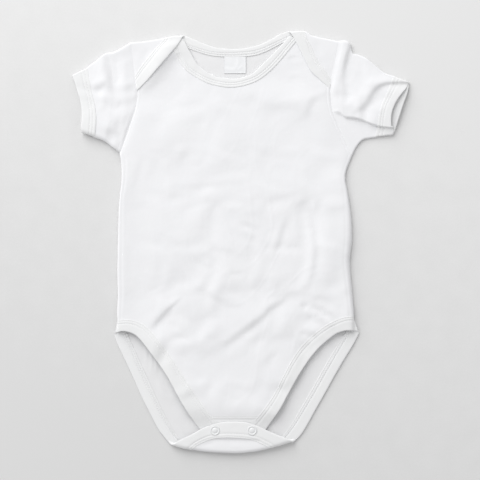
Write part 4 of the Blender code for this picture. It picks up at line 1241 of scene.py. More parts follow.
def back_lines(shoulder, neck, leg, tab, lap=0.0):
    """Inner and edge lines of all the bindings of the back."""
    lines = {}
    parts = ("inner_", "edge_")
    neck_lines = [knots(BACK_NECK, part) for part in parts]
    for side, flap, end in (("left", FLAP_LEFT, 0), ("right", FLAP_RIGHT, -1)):
        neck_lines[0][end][1] = shoulder_line(neck_lines[0][end][0])
        flat = [unfold(knots(flap, part), shoulder_line, SHOULDER_ROLL, 1) for part in parts]
        lines["flap_" + side] = lapped(*[np.vstack([line, at_neck[end]])
                                         for line, at_neck in zip(flat, neck_lines)], shoulder, lap)
    lines["neck"] = lapped(*neck_lines, neck, lap)
    ends = []
    for side, rows in (("left", BACK_LEG_LEFT), ("right", BACK_LEG_RIGHT)):
        leg_lines = [knots(rows, part) for part in parts]
        for line in leg_lines:
            line[-1][1] = crotch_line(line[-1][0])
        lines["leg_" + side] = lapped(*leg_lines, leg, lap)
        ends.append([line[-1] for line in leg_lines])
    flat = [unfold(knots(TAB, part), crotch_line, CROTCH_ROLL, -1) for part in parts]
    lines["tab"] = lapped(*[np.vstack([start, line, end])
                            for start, line, end in zip(ends[0], flat, ends[1])], tab, lap)
    return lines


back_neck_spans = 2 * BACK_LEG + BACK_TAB - 2 * BACK_SHOULDER
panel_lines = back_lines(BACK_SHOULDER, back_neck_spans, BACK_LEG, BACK_TAB, LAP)
strip_of = back_lines(FINE_SHOULDER, FINE_NECK, FINE_LEG, FINE_TAB)
print("back neck line", round(length_of(strip_of["neck"][0])), "mm")

# %% Pattern of the back
BACK_SIDE_ROWS = 76
BACK_ARM_ROWS = 76
FLAP_ROWS = 48
FLAP_POWER = 1.5
SHOULDER_POWER = 1.6
TAB_ROWS = 34
TAB_POWER = 1.2


def back_patterns(lines):
    """The body of the back, its two flaps and its tab."""
    shoulders = []
    for armhole, side in ((ARMHOLE_LEFT, "left"), (ARMHOLE_RIGHT, "right")):
        start = knots(armhole)[-1][0]
        end = lines["flap_" + side][0][-1][0]
        xs = start + (end - start) * np.linspace(0, 1, BACK_SHOULDER + 1) ** SHOULDER_POWER
        shoulders.append(np.column_stack([xs, shoulder_line(xs)]))
    leg_left = lines["leg_left"][0]
    leg_right = lines["leg_right"][0][::-1]
    xs = np.linspace(leg_left[-1][0], leg_right[0][0], BACK_TAB + 1)
    crotch = np.column_stack([xs, crotch_line(xs)])
    leg_left = np.vstack([leg_left[:-1], crotch[:1]])
    leg_right = np.vstack([crotch[-1:], leg_right[1:]])
    left = side_line(SIDE_LEFT, ARMHOLE_LEFT, shoulders[0][0], leg_left[0], BACK_SIDE_ROWS,
                     BACK_ARM_ROWS)
    right = side_line(SIDE_RIGHT, ARMHOLE_RIGHT, shoulders[1][0], leg_right[-1], BACK_SIDE_ROWS,
                      BACK_ARM_ROWS)
    neck = lines["neck"][0].copy()
    neck[0] = shoulders[0][-1]
    neck[-1] = shoulders[1][-1]
    bottom = joined(leg_left, crotch, leg_right)
    top = joined(shoulders[0], neck, shoulders[1][::-1])
    body = patch(left, right, bottom, top, share_across(bottom, top))
    flaps = [spread(line, lines["flap_" + side][0], FLAP_ROWS, FLAP_POWER)
             for line, side in zip(shoulders, ("left", "right"))]
    return [body, *flaps, spread(crotch, lines["tab"][0], TAB_ROWS, TAB_POWER)]


print("back grids:", FLAP_ROWS, "rows in a flap and", TAB_ROWS, "in the tab")

# %% The back, laid and folded
SIDE_UP = 0.45            # the back turns up to the front at its side seams

back_grids = back_patterns(panel_lines)
back_pieces = [(back_place(grid[..., 0], grid[..., 1], 0.0), grid) for grid in back_grids]
body_places = back_pieces[0][0]
for border in (back_grids[0][:, :1], back_grids[0][:, -1:]):
    away = np.linalg.norm(back_grids[0] - border, axis=-1)
    body_places[..., 2] += SIDE_UP * bell(away / SEAM_TURN) * (border[..., 1] < UNDERARM_Y)
back = made_up("back", "back_panel", back_pieces, back_jersey, wall=WALL)
back_sizes = [cut_size(grid) for grid in back_grids]

# %% [markdown]
# ## The bindings
# A binding is a strip of knit folded over a raw edge and sewn through with two needles. Seen
# across, it is a flat pad that swells between the rows of stitches, is plump near its free
# edge and rounded there. Each is swept from its inner line to its edge, ring by ring, with a
# dip at every stitch, so its relief is real and shows from any side.

# %% Section of a binding
HALF = 0.85
PLUMP = 0.15
ROW_DIP = 0.22
ROW_WIDTH = 0.5
ROW_ROLL = 0.09
STITCH = 2.6
EDGE_TURN = np.linspace(math.pi / 2, -math.pi / 2, 9)[1:-1]


def half_wall(reach, width, rows, phase):
    """Half the thickness of a binding at a reach from its inner line."""
    start = 0.72 + 0.28 * ease(reach / 0.4)
    half = HALF * start + PLUMP * ease((reach - rows[-1]) / 1.5) * ease((width - reach) / 2.0)
    for row in rows:
        dip = ROW_DIP * (1 + 0.35 * np.cos(phase))
        half = half - dip * bell((reach - row) / ROW_WIDTH)
        half = half + ROW_ROLL * bell((abs(reach - row) - 1.0) / 0.5)
    return half


def section_reaches(width, rows):
    """Reaches of the section: close together at the rows, and few over the plain part."""
    near = [0.0, 0.25, 0.55]
    for row in rows:
        near += [row + step for step in (-0.85, -0.45, -0.2, 0.0, 0.2, 0.45, 0.85)]
    near = sorted(value for value in near if value >= 0.0)
    last = near[-1]
    plain = [last + (width - HALF - last) * share for share in (0.2, 0.45, 0.7, 0.87, 1.0)]
    return near + plain


def binding_section(width, rows, phase):
    """Reach and height of a section, from the inner line over the edge and back under."""
    reach = np.array(section_reaches(width, rows))
    half = half_wall(reach, width, rows, phase)
    round_reach = width - HALF + half[-1] * np.cos(EDGE_TURN)
    round_half = half[-1] * np.sin(EDGE_TURN)
    return (np.concatenate([reach, round_reach, reach[::-1]]),
            np.concatenate([half, round_half, -half[::-1]]))


print("a binding is", round(2 * (HALF + PLUMP), 1), "mm thick beside its edge")

# %% Sweeping a binding


def swept(inner, edge, rows, place, sit):
    """Rings of a binding from its inner to its edge line, with the cut points of its map."""
    rings, cuts = [], []
    for start, end, along in zip(inner, edge, run_along((inner + edge) / 2)):
        width = float(np.linalg.norm(end - start))
        reach, height = binding_section(width, rows, along / STITCH * math.tau)
        x = start[0] + (end[0] - start[0]) * reach / width
        y = start[1] + (end[1] - start[1]) * reach / width
        rings.append(place(x, y, sit(x, y) + height))
        around = run_along(np.column_stack([reach, height]))
        around = np.append(around, around[-1] + 2 * height[0])
        cuts.append(np.column_stack([np.full(len(around), along), around]))
    return np.array(rings), np.array(cuts)


def flush(x, y):
    """Height of a back binding's middle over its wall's: on the table its underside is flat."""
    past = np.maximum(np.maximum(y - shoulder_line(x), crotch_line(x) - y), 0.0)
    return (HALF + PLUMP - CLOTH / 2) * (1 - ease(past / (math.pi * SHOULDER_ROLL)))


def even(height):
    """A binding that stands the same all along over the middle of its panel's wall."""
    return lambda x, _y: np.full_like(x, height)


centred = even(0.0)
proud = even(0.25)        # the front's neck binding
pressed_in = even(-0.25)  # the strip at the front's end

LEG_ROWS = (1.4, 4.1)
END_ROWS = (1.2, 3.4)
FRONT_NECK_ROWS = (2.2, 4.4)
BACK_NECK_ROWS = (1.7, 4.3)
HEM_ROWS = (3.0, 6.0)


def bind(name, node, inner, edge, rows, place, sit, lies_on):
    """A binding: the strip of cloth that shows."""
    sweep = swept(inner, edge, rows, place, sit)
    piece = made_up(name, node, [sweep], strip, ring=True, closed=True)
    width = float(np.linalg.norm(edge - inner, axis=1).mean()) * MM
    length = length_of((inner + edge) / 2) * MM
    print("  strip", round(width, 4), "by", round(length, 3), "m")


print("leg bindings have", len(LEG_ROWS), "needle rows")

# %% Bindings of the back
back_neck = [joined(up, across, down[::-1]) for up, across, down in
             zip(strip_of["flap_left"], strip_of["neck"], strip_of["flap_right"])]
bind("back_neck_strip", "neck_binding_back", *back_neck, BACK_NECK_ROWS, back_place, flush,
     ["front"])
for side in ("left", "right"):
    bind("back_leg_strip_" + side, "leg_binding_back_" + side, *strip_of["leg_" + side],
         LEG_ROWS, back_place, flush, ["back"])
bind("tab_strip", "crotch_binding_back", *strip_of["tab"], LEG_ROWS, back_place, flush, ["front"])

# %% Bindings of the front
FINE_FRONT_NECK = 260
FRONT_END_SPANS = 40
FRONT_END_TOP = -167.4
FRONT_END_IN = 1.5
CROTCH_END = 23.5

front_neck = strip_lines(FRONT_NECK, FINE_FRONT_NECK)
bind("front_neck_strip", "neck_binding_front", *front_neck, FRONT_NECK_ROWS, front_place,
     proud, ["back"])
front_legs = {}
for side, rows in (("left", FRONT_LEG_LEFT), ("right", FRONT_LEG_RIGHT)):
    front_legs[side] = strip_lines(rows, FINE_LEG)
    bind("front_leg_strip_" + side, "leg_binding_front_" + side, *front_legs[side], LEG_ROWS,
         front_place, centred, ["back_leg_strip_" + side])
end_left, end_right = [np.interp(FRONT_END_TOP, line[::-1, 1], line[::-1, 0])
                       for line, _edge in (front_legs["left"], front_legs["right"])]
end_x = np.linspace(end_left + FRONT_END_IN, end_right - FRONT_END_IN, FRONT_END_SPANS + 1)
end_inner = np.column_stack([end_x, np.full(FRONT_END_SPANS + 1, FRONT_END_TOP)])
front_end = (end_inner, end_inner - np.array([0.0, CROTCH_END]))
bind("front_end_strip", "crotch_binding_front", *front_end, END_ROWS, front_place, pressed_in,
     ["back"])

# %% Front and back laid
print("front and back laid")

# %% [markdown]
# ## Sleeves
# A short sleeve lies flattened: its upper layer runs from a fold along the top to a fold at the
# foot, and its lower layer lies on the table under it. Rings round the sleeve go from the
# armhole to the hem. The right sleeve has slipped over itself: an arc-shaped fold
# crosses it, and its lower layer looks out at the foot.

# %% Creases of the sleeves
SLEEVE_LEFT_CREASES = table(
    CREASE,
    (-126, 196, -116, 130, -1, 5, -0.8, 0.9),    # from the shoulder edge
    (-121, 178, -119, 158, 0, 2.6, 0, 0.4),
    (-107, 136, -124, 127, 0, 5, -0.6, 0),       # to the underarm
    (-98, 133, -136, 104, 0, 7, 1.0, 0),
    (-108, 100, -128, 108, 0, 5, -0.4, 0),
    (-124, 159, -140, 145, 0, 3.4, 0, 0.5),
    (-108, 186, -107, 138, 0, 5, 0.8, 0),
    (-128, 148, -126, 125, 0, 3, 0, 0.35),
    (-118, 118, -112, 98, 0, 3, 0, 0.3))

ARC_FOLD = table(
    FOLD,
    (176, 155.5, 1.6, 0.2, 1.7), (154, 155.2, 1.6, 0.2, 1.7), (144.5, 154.4, 1.8, 0.2, 1.7),
    (137.7, 151.3, 2.4, 0.1, 2.0), (133.9, 147.4, 3.0, 0, 2.2), (130, 141.6, 3.6, 0, 2.2),
    (127, 135.8, 3.8, 0, 2.1), (120, 129, 4.0, 0, 1.6), (110, 125.0, 4.0, 0, 0))

PLEAT_FOLD = table(
    FOLD,
    (112, 196, 2.2, 0.3, 2.0), (107, 180, 2.6, 0.3, 2.2), (104.6, 168, 3.0, 0.2, 2.0),
    (104, 158, 4.6, -0.2, 1.8), (102.6, 148, 6.0, -0.4, 1.6), (101, 134, 6.4, 0, 0))

SLEEVE_FOLDS = {"left": (), "right": (ARC_FOLD, PLEAT_FOLD)}

SLEEVE_RIGHT_CREASES = table(
    CREASE,
    (104, 156, 106, 134, 2, 3.0, -0.3, 0.5),     # past the armhole pleat
    (105, 192, 99, 150, 1, 3.2, 0.25, 0),
    (161, 159, 112, 133, -8, 4.5, 0.4, 0),       # above the arc
    (96, 122, 99, 111, 0, 2, 0, 0.4),
    (126, 131, 146, 127, 0, 5, 0.5, 0),
    (150, 116, 104, 126, 0, 6, 0.5, 0),
    (114, 114, 154, 107.5, 0, 1.8, -0.7, 0),     # in the lower layer at the foot
    (110, 121, 112, 96, 0, 3, 0, 0.5),
    (128, 108, 146, 112, 0, 2.2, 0.5, 0))
print(len(SLEEVE_LEFT_CREASES) + len(SLEEVE_RIGHT_CREASES), "creases on the sleeves")

# %% Heights round each sleeve
# Over the top fold, the middle and the foot of the upper layer. Below the drop, at that share
# of the way round, the cloth lies low.
HEIGHTS = "along top middle foot drop low"
SIZES = HEIGHTS.split()[1:]
SLEEVE_WAVES = table(WAVE, (11, 26, 0.36), (12, 12, 0.06))
OUT = {"left": -1.0, "right": 1.0}

SLEEVE_LEFT_HEIGHTS = table(
    HEIGHTS,
    (0.0, 4.2, 3.8, 3.2, 1.0, 3.2), (0.25, 4.0, 4.8, 5.0, 1.0, 5.0),
    (0.6, 3.8, 5.6, 7.4, 1.0, 7.4), (1.0, 3.6, 5.6, 8.4, 1.0, 8.4))
SLEEVE_RIGHT_HEIGHTS = table(
    HEIGHTS,
    (0.0, 4.2, 4.0, 4.2, 0.61, 2.4), (0.25, 4.4, 5.2, 6.4, 0.67, 2.5),
    (0.6, 4.2, 6.4, 7.2, 0.75, 2.3), (1.0, 4.0, 6.8, 7.4, 0.83, 2.2))
HEM_LEFT_HEIGHTS = table(
    HEIGHTS,
    (0.0, 3.8, 5.8, 8.6, 1.0, 8.6), (1.0, 3.8, 5.8, 8.8, 1.0, 8.8))
HEM_RIGHT_HEIGHTS = table(
    HEIGHTS,
    (0.0, 4.0, 7.0, 7.4, 0.83, 3.2), (1.0, 4.2, 7.8, 7.8, 0.88, 3.4))


def sizes_at(rows, reach):
    """The sizes of a ring at a share of the way along."""
    along = [row.along for row in rows]
    return {key: float(np.interp(reach, along, [getattr(row, key) for row in rows]))
            for key in SIZES}


print("left sleeve stands", SLEEVE_LEFT_HEIGHTS[-1].foot, "mm high at its hem")

# %% Rings of a sleeve
SLEEVE_EDGE = 2.4
SLEEVE_CREASE_SIZE = 1.4
DROP_REACH = 1.9
RING_ABOVE = 84
RING_BELOW = 26
RING_UNDER = 30
HALF_TURN = np.linspace(0, math.pi, 9)[1:-1]
ARMHOLE_GAP = {"left": 0.15, "right": -0.1}


def roof(sizes, creases, folds, x, y, distance, length, fade):
    """Height of a sleeve's upper layer, at a distance round from its top fold."""
    bent = sum(folded(fold, x, y) for fold in folds)
    brow = sizes["drop"] * length
    share = np.minimum(1.0, distance / brow)
    high = (sizes["top"] * (1 - share) * (1 - 2 * share) + sizes["middle"] * 4 * share * (1 - share)
            + sizes["foot"] * share * (2 * share - 1))
    high = high + fade * (bent + SLEEVE_CREASE_SIZE * creased(creases, x, y)
                          + waves(SLEEVE_WAVES, x, y))
    fallen = ease((distance - brow) / DROP_REACH + 0.5)
    return np.maximum(high + (sizes["low"] - high) * fallen, SLEEVE_EDGE)


def plan_at(row, distance):
    """X and Y at some distances round a row, from its top fold."""
    run = run_along(row)
    return np.interp(distance, run, row[:, 0]), np.interp(distance, run, row[:, 1])


def sleeve_ring(row, sizes, creases, folds, fade, meet=None):
    """Outer points of one ring: over the upper layer, round the foot, back under, round the top."""
    length = run_along(row)[-1]

    def high(distance):
        level = roof(sizes, creases, folds, *plan_at(row, distance), distance, length, fade)
        if meet is not None:
            level = level + np.interp(distance / length, MEET_SHARES, meet)
        return np.maximum(level, SLEEVE_EDGE * 0.8)

    top_radius = float(high(np.array(2.5))) / 2
    top_reach = PRESSED * top_radius
    foot_radius = float(high(np.array(length - 2.0))) / 2
    brow = min(sizes["drop"] * length, length - foot_radius - 0.5)
    upper = np.concatenate([np.linspace(top_reach, brow - 2, RING_ABOVE),
                            np.linspace(brow - 1.5, length - foot_radius, RING_BELOW)])
    foot_way = length - foot_radius + foot_radius * np.sin(HALF_TURN)
    lower = np.linspace(length - foot_radius, top_reach, RING_UNDER)
    top_way = top_reach - top_reach * np.sin(HALF_TURN)
    way = np.concatenate([upper, foot_way, lower, top_way])
    z = np.concatenate([high(upper), foot_radius * (1 + np.cos(HALF_TURN)),
                        np.zeros(RING_UNDER), top_radius * (1 - np.cos(HALF_TURN))])
    return np.column_stack([*plan_at(row, way), z])


MEET_SHARES = np.linspace(0, 1, 60)
MEET_REACH = {"left": 14.0, "right": 5.0}
MEET_IN = {"left": 2.0, "right": 0.0}
FLAP_ENDS = {"left": 147.4, "right": 149.6}
FLAP_STEP = 0.3           # how far a sleeve stands over the flap beside it
SUNK = {"left": 0.45, "right": 0.1}     # how deep a sleeve lies in its armhole seam
HEM_SUNK = 0.3


def body_top(x, y, side):
    """Height of the garment's upper side at the armhole: the flap's, and below it the front's."""
    flap = CLOTH / 2 + 2 * SHOULDER_ROLL + flap_height(x, y) + WALL / 2
    under = front_height(x + MEET_IN[side], y) + WALL / 2 + 0.2
    on_flap = ease((y - FLAP_ENDS[side]) / 16.0 + 0.35)
    return under + (flap + FLAP_STEP - under) * on_flap


def to_meet(row, sizes, side):
    """What a sleeve's first ring is raised by, so that it meets the body's upper side."""
    length = run_along(row)[-1]
    distance = MEET_SHARES * length
    x, y = plan_at(row, distance)
    return body_top(x, y, side) - roof(sizes, (), (), x, y, distance, length, 0.0)


def ring_cut(places, along):
    """Map points of a ring: the way round it, and the way along the sleeve."""
    around = run_along(np.vstack([places, places[:1]]))
    return np.column_stack([around, np.full(len(around), along)])


print("a sleeve ring has", RING_ABOVE + RING_BELOW, "points over its upper layer")

# %% Sleeves, laid
SLEEVE_ROWS = 62
SLEEVE_COLUMNS = 60
INTO_SEAM = 1.4


def sleeve_pattern(armhole, top, foot, hem):
    """A sleeve's plan between its armhole, its two folded edges and its hem binding."""
    seam = np.vstack([knots(top)[:1], knots(armhole)[::-1][1:-1], knots(foot)[:1]])
    start = smooth(seam, SLEEVE_COLUMNS)
    end = strip_lines(hem, SLEEVE_COLUMNS, LAP)[0]
    upper = smooth(np.vstack([knots(top)[:-1], end[:1]]), SLEEVE_ROWS)
    lower = smooth(np.vstack([knots(foot)[:-1], end[-1:]]), SLEEVE_ROWS)
    return patch(upper, lower, start, end, np.linspace(0, 1, SLEEVE_COLUMNS + 1))


def sleeve(side, grid, heights, creases):
    """A flattened sleeve, its first ring turned into the armhole seam."""
    rings, cuts = [], []
    length = length_of(grid[:, SLEEVE_COLUMNS // 2])
    meet = to_meet(grid[0], sizes_at(heights, 0.0), side)
    for index, row in enumerate(grid):
        reach = index / (len(grid) - 1)
        away = reach * length
        ring = sleeve_ring(row, sizes_at(heights, reach), creases, SLEEVE_FOLDS[side],
                           float(ease(away / 4.0)), meet * bell(away / MEET_REACH[side]))
        ring[:, 0] += OUT[side] * ARMHOLE_GAP[side] * (1 - reach)
        deep = SUNK[side] * bell(away / 1.1) + HEM_SUNK * bell((length - away) / 1.2)
        ring[:, 2] -= np.where(ring[:, 2] > 1.5, deep, 0.0)
        if index == 0:
            inner = ring.copy()
            inner[:, 0] -= OUT[side] * INTO_SEAM
            inner[:, 2] = np.clip(inner[:, 2] - 0.5, 1.15, None)
            rings.append(inner)
            cuts.append(ring_cut(ring, -INTO_SEAM))
        rings.append(ring)
        cuts.append(ring_cut(ring, away))
    return np.array(rings), np.array(cuts), length


def lay_sleeve(side, armhole, top, foot, hem, heights, creases):
    grid = sleeve_pattern(armhole, top, foot, hem)
    rings, cuts, length = sleeve(side, grid, heights, creases)
    tallest = np.maximum(rings[..., 2].max(axis=1, keepdims=True), 1)
    rings[..., 2] += WALL / 2 * (1 - 2 * rings[..., 2] / tallest)
    piece = made_up("sleeve_cloth_" + side, "sleeve_" + side, [(rings, cuts)], jersey,
                    ring=True, wall=WALL)


lay_sleeve("left", ARMHOLE_LEFT, SLEEVE_LEFT_TOP, SLEEVE_LEFT_FOOT, HEM_LEFT,
           SLEEVE_LEFT_HEIGHTS, SLEEVE_LEFT_CREASES)
lay_sleeve("right", ARMHOLE_RIGHT, SLEEVE_RIGHT_TOP, SLEEVE_RIGHT_FOOT, HEM_RIGHT,
           SLEEVE_RIGHT_HEIGHTS, SLEEVE_RIGHT_CREASES)

# %% [markdown]
# ## Sleeve hems
# Each sleeve ends in a bound hem, like the other edges but closed to a ring. Its outer face,
# a rounded lip at the open end and its inner face are one surface. On the right the lower
# layer reaches further out than the upper one, so the inside of the sleeve shows.

# %% Rings of a hem
HEM_WALL = 1.6
HEM_LIP = 6.5
HEM_PROUD = 0.45
HEM_CURL = 3.2            # how far a lower layer that looks out curls up
HEM_BACK = 3.0            # and how far the upper one draws back
LIP_TURN = np.linspace(math.pi / 2, -math.pi / 2, 8)[1:-1]


def hem(side, rows, heights, creases, under):
    """A bound sleeve end: outer face, lip and inner face."""
    inner_line, edge_line = strip_lines(rows, SLEEVE_COLUMNS)
    width = float(np.linalg.norm(edge_line - inner_line, axis=1).mean())
    reaches = np.array(section_reaches(width, HEM_ROWS))
    halves = half_wall(reaches, width, HEM_ROWS, math.pi / 2)
    outer, cuts = [], []
    for reach, half in zip(reaches, halves):
        share = reach / width
        row = inner_line + (edge_line - inner_line) * share
        ring = sleeve_ring(row, sizes_at(heights, share), creases, SLEEVE_FOLDS[side], 1.0)
        below = 1 - np.clip(ring[:, 2] / ring[:, 2].max(), 0, 1)
        span = np.clip((ring[:, 1] - row[-1, 1]) / (row[0, 1] - row[-1, 1]), 0, 1)
        bulge = np.sin(math.pi * span)
        look_out = under * below * bulge ** 0.7
        draw_back = under / HEM_LIP * HEM_BACK * (1 - below) * bulge
        ring[:, 0] += OUT[side] * (look_out - draw_back) * share
        ring[:, 2] += HEM_CURL * look_out / HEM_LIP * share
        ring[:, 2] += np.where(ring[:, 2] > 1.2, half - HALF + HEM_PROUD, 0.0)
        outer.append(ring)
        cuts.append(ring_cut(ring, reach))
    outer = np.array(outer)
    centre = outer.mean(axis=1, keepdims=True)
    along = np.gradient(outer, axis=0)
    around = np.roll(outer, -1, axis=1) - np.roll(outer, 1, axis=1)
    normal = np.cross(along, around)
    normal /= np.linalg.norm(normal, axis=-1, keepdims=True)
    if ((outer - centre) * normal).sum() < 0:
        normal = -normal
    forward = along / np.linalg.norm(along, axis=-1, keepdims=True)
    half = HEM_WALL / 2
    middle = outer - normal * half
    lip = [middle[-1] + half * (math.sin(turn) * normal[-1] + math.cos(turn) * forward[-1])
           for turn in LIP_TURN]
    inner = (middle - normal * half)[::-1]
    rings = np.concatenate([outer, np.array(lip), inner, outer[:1]])
    far = [cuts[-1] + np.array([0.0, 0.3 * step]) for step in range(1, len(lip) + 1)]
    back_way = [cut * np.array([1.0, -1.0]) + np.array([0.0, 2 * width]) for cut in cuts[::-1]]
    last = [back_way[-1] + np.array([0.0, HEM_WALL])]
    return rings, np.array(cuts + far + back_way + last), outer, normal, width


def lay_hem(side, rows, heights, creases, under):
    rings, cuts, outer, normal, width = hem(side, rows, heights, creases, under)
    piece = made_up("hem_strip_" + side, "cuff_" + side, [(rings, cuts)], strip,
                    ring=True, looped=True)
    round(width * MM, 4)
    return outer, normal


left_hem = lay_hem("left", HEM_LEFT, HEM_LEFT_HEIGHTS, SLEEVE_LEFT_CREASES, 0.0)
right_hem = lay_hem("right", HEM_RIGHT, HEM_RIGHT_HEIGHTS, SLEEVE_RIGHT_CREASES, HEM_LIP)

# %% [markdown]
# ## Neck label
# A short satin tape, sewn in under the back neck binding and blank. Its sides are cut with
# heat, which leaves a thin raised edge, and it bows a little off the cloth.

# %% Label
LABEL_WIDTH = 21.0
LABEL_CENTRE = -1.0
LABEL_TOP = 180.6
LABEL_FOOT = 164.6
LABEL_STEPS = 40
LABEL_WALL = 0.45
LABEL_OFF = 0.5
LABEL_RIM = 0.14
LABEL_BOW = 0.15
LABEL_WAVES = table(WAVE, (15, 9, 0.05))


def label():
    half = LABEL_WIDTH / 2
    x, y = np.meshgrid(np.linspace(LABEL_CENTRE - half, LABEL_CENTRE + half, LABEL_STEPS + 1),
                       np.linspace(LABEL_FOOT, LABEL_TOP, LABEL_STEPS + 1))
    places = back_place(x, y, CLOTH / 2)
    side = half - abs(x - LABEL_CENTRE)
    foot = y - LABEL_FOOT
    rim = LABEL_RIM * (bell(side / 0.5) + bell(foot / 0.6))
    bow = LABEL_BOW * np.sin(math.pi * foot / (LABEL_TOP - LABEL_FOOT)) * ease(side / 6)
    places[..., 2] += LABEL_OFF + rim + bow + waves(LABEL_WAVES, x, y)
    piece = made_up("label_tape", "neck_label", [(places, np.stack([x, y], axis=-1))],
                    tape, wall=LABEL_WALL)


label()

# %% [markdown]
# ## Press studs
# A ring stud: an open ring with a turned rim grips the cloth from outside, and the head of the
# stud shows as a small dome in it. Both are turned shapes, so a profile of radius and height is
# carried round its axis.

# %% Turned pieces
STUD_TURNS = 56
CAP_FOOT = 7.3
STUD_CAP = ((0.0, 1.25), (0.7, 1.23), (1.4, 1.15), (2.0, 1.0), (2.4, 0.78), (2.65, 0.55),
            (2.9, 0.42), (3.15, 0.5), (3.4, 0.82), (3.7, 1.02), (4.05, 1.06), (4.4, 0.95),
            (4.65, 0.7), (4.72, 0.4), (4.6, 0.15), (4.3, 0.0), (2.0, 0.0), (0.0, 0.0))


def turned(name, profile, centre, foot):
    """A round piece from its profile, with a single point at each end of the axis."""
    turns = np.linspace(0, math.tau, STUD_TURNS, endpoint=False)
    verts = [(0.0, 0.0, profile[0][1])]
    for radius, height in profile[1:-1]:
        verts += [(radius * math.cos(turn), radius * math.sin(turn), height) for turn in turns]
    verts.append((0.0, 0.0, profile[-1][1]))
    faces = []
    for k in range(STUD_TURNS):
        after = (k + 1) % STUD_TURNS
        faces.append((0, 1 + k, 1 + after))
        for ring in range(len(profile) - 3):
            low = 1 + ring * STUD_TURNS
            high = low + STUD_TURNS
            faces.append((low + k, high + k, high + after, low + after))
        last = 1 + (len(profile) - 3) * STUD_TURNS
        faces.append((last + k, len(verts) - 1, last + after))
    verts = [((x + centre[0]) * MM, (y + centre[1]) * MM, (z + foot) * MM) for x, y, z in verts]
    mesh = bpy.data.meshes.new(name)
    mesh.from_pydata(verts, [], faces)
    piece = shown(name, mesh, enamel)
    return piece


for side, centre in SNAP_CENTRES.items():
    cap = turned("stud_ring_" + side, STUD_CAP, centre, CAP_FOOT)
    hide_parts("snap_cap_" + side)
    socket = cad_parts["snap_socket_" + side]
    socket.data.materials.clear()
    socket.data.materials.append(enamel)
print("studs", len(SNAP_CENTRES))

# %% [markdown]
# ## Stitches
# A two-needle machine leaves two straight rows on the face of the cloth. On its back a
# looper thread runs in zigzag between them. A stitch is one short bead of thread whose
# ends dive into the cloth. All the stitches of an edge are joined into one piece.

# %% Beads of thread
BEAD_SHARES = np.array([0.0, 0.12, 0.5, 0.88, 1.0])
BEAD_RADII = np.array([0.45, 0.85, 1.0, 0.85, 0.45])
BEAD_DIVE = np.array([0.9, 0.25, 0.0, 0.25, 0.9])
BEAD_SIDES = 6
THREAD = 0.2


def beads(starts, ends, ups):
    """Vertices, faces and map points of beads that lie between pairs of points."""
    ahead = ends - starts
    long = np.linalg.norm(ahead, axis=1, keepdims=True)
    ahead = ahead / np.maximum(long, 1e-9)
    aside = np.cross(ahead, ups)
    aside /= np.maximum(np.linalg.norm(aside, axis=1, keepdims=True), 1e-9)
    up = np.cross(aside, ahead)
    turns = np.arange(BEAD_SIDES) * math.tau / BEAD_SIDES
    middle = starts[:, None] + (ends - starts)[:, None] * BEAD_SHARES[None, :, None]
    middle = middle - up[:, None] * (BEAD_DIVE * THREAD)[None, :, None]
    ring = (np.cos(turns)[:, None] * aside[:, None, None] + np.sin(turns)[:, None] * up[:, None, None])
    verts = middle[:, :, None] + ring * (BEAD_RADII * THREAD)[None, :, None, None]
    count = len(BEAD_SHARES)
    last = (count - 1) * BEAD_SIDES
    faces = []
    for low in range(0, last, BEAD_SIDES):
        for side in range(BEAD_SIDES):
            after = (side + 1) % BEAD_SIDES
            high = low + BEAD_SIDES
            faces.append((low + side, low + after, high + after, high + side))
    ends_of_bead = [tuple(range(BEAD_SIDES))[::-1], tuple(range(last, last + BEAD_SIDES))]
    cut = np.stack([np.repeat(BEAD_SHARES[None, :, None] * long[:, :, None], BEAD_SIDES, axis=2),
                    np.broadcast_to(turns / math.tau, (len(starts), count, BEAD_SIDES))], axis=-1)
    return verts.reshape(-1, 3), faces + ends_of_bead, cut.reshape(-1, 2), count * BEAD_SIDES


def sewn(name, runs):
    """One piece of all the stitches in a list of runs of points with their up directions."""
    starts, ends, ups = [np.vstack(column) for column in zip(*runs)]
    verts, bead, cut, size = beads(starts, ends, ups)
    faces = [tuple(base + corner for corner in face)
             for base in range(0, len(verts), size) for face in bead]
    mesh = mapped(name, verts, faces, cut * np.array([MM, 1.0]), faces)
    shown(name, mesh, thread)
    print(name, len(starts), "stitches")


print("a bead has", len(BEAD_SHARES) * BEAD_SIDES, "points")

# %% Rows of stitches on a binding
STITCH_SHARE = 0.86       # of the stitch length that a bead takes up
THREAD_SIT = -0.08
FIRST_STITCH = 0.6
FIRST_HEM_STITCH = 0.3
LOOPER_LIFT = 0.3


def needle_row(line, up, first):
    """One straight row, a stitch length from stitch to stitch."""
    run = run_along(line)
    steps = np.arange(first, run[-1] - STITCH, STITCH)
    return (at_run(line, run, steps), at_run(line, run, steps + STITCH * STITCH_SHARE),
            at_run(up, run, steps))


def line_on(inner, edge, reach, face, rows, place, sit):
    """A line along a binding at a reach from its inner line, on one of its faces."""
    way = edge - inner
    width = np.linalg.norm(way, axis=1)[:, None]
    flat = inner + way * reach / width
    half = half_wall(np.array([reach]), float(width.mean()), rows, math.pi / 2)[0]
    level = sit(flat[:, 0], flat[:, 1]) + face * (half + THREAD_SIT)
    outer = place(flat[:, 0], flat[:, 1], level)
    return outer, outer - place(flat[:, 0], flat[:, 1], level - face)


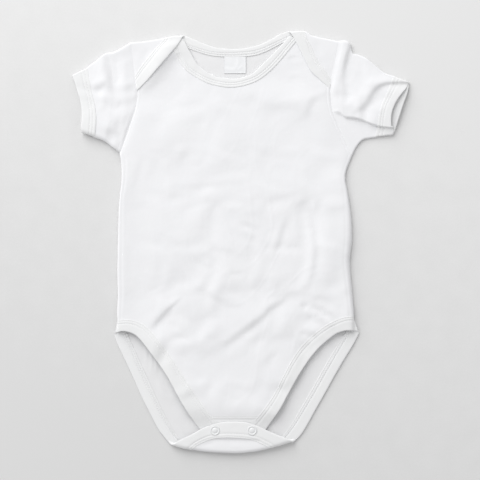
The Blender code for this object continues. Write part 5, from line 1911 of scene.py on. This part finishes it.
def straight_rows(inner, edge, rows, face, place, sit):
    """The two straight rows of the needles."""
    return [needle_row(*line_on(inner, edge, reach, face, rows, place, sit), FIRST_STITCH)
            for reach in rows]


def looper_rows(inner, edge, rows, face, place, sit):
    """The zigzag of the looper thread between the two needle rows."""
    near, up = line_on(inner, edge, rows[0], face, rows, place, sit)
    far, _up = line_on(inner, edge, rows[-1], face, rows, place, sit)
    run = run_along(near)
    steps = np.arange(FIRST_STITCH, run[-1] - STITCH, STITCH)
    ups = at_run(up, run, steps)
    here, there, next_one = [at_run(line, run, steps + late) + LOOPER_LIFT * ups
                             for line, late in ((near, 0.0), (far, STITCH / 2), (near, STITCH))]
    return [(here, there, ups), (there, next_one, ups)]


def both_faces(inner, edge, rows, outside, place, sit):
    """Needle rows on the outside of the cloth and on its inside, where the looper joins them."""
    return (straight_rows(inner, edge, rows, outside, place, sit)
            + straight_rows(inner, edge, rows, -outside, place, sit)
            + looper_rows(inner, edge, rows, -outside, place, sit))


print("a stitch is", STITCH, "mm long")

# %% Stitching of neck, legs and tab
sewn("neck_stitches", both_faces(*back_neck, BACK_NECK_ROWS, -1, back_place, flush)
     + both_faces(*front_neck, FRONT_NECK_ROWS, 1, front_place, proud))
leg_runs = []
for side in ("left", "right"):
    leg_runs += both_faces(*front_legs[side], LEG_ROWS, 1, front_place, centred)
    leg_runs += both_faces(*strip_of["leg_" + side], LEG_ROWS, -1, back_place, flush)
sewn("leg_stitches", leg_runs)
sewn("tab_stitches", both_faces(*strip_of["tab"], LEG_ROWS, -1, back_place, flush)
     + both_faces(*front_end, END_ROWS, 1, front_place, pressed_in))

# %% Stitching of the sleeve hems
HEM_WIDTH = 14.0


def hem_rows(outer, normal):
    """Straight rows round a hem, laid on its outer face."""
    reaches = section_reaches(HEM_WIDTH, HEM_ROWS)
    runs = []
    for row in HEM_ROWS:
        index = int(np.argmin([abs(reach - row) for reach in reaches]))
        line, up = [np.vstack([ring[index], ring[index][:1]]) for ring in (outer, normal)]
        runs.append(needle_row(line, up, FIRST_HEM_STITCH))
    return runs


sewn("hem_stitches", hem_rows(*left_hem) + hem_rows(*right_hem))
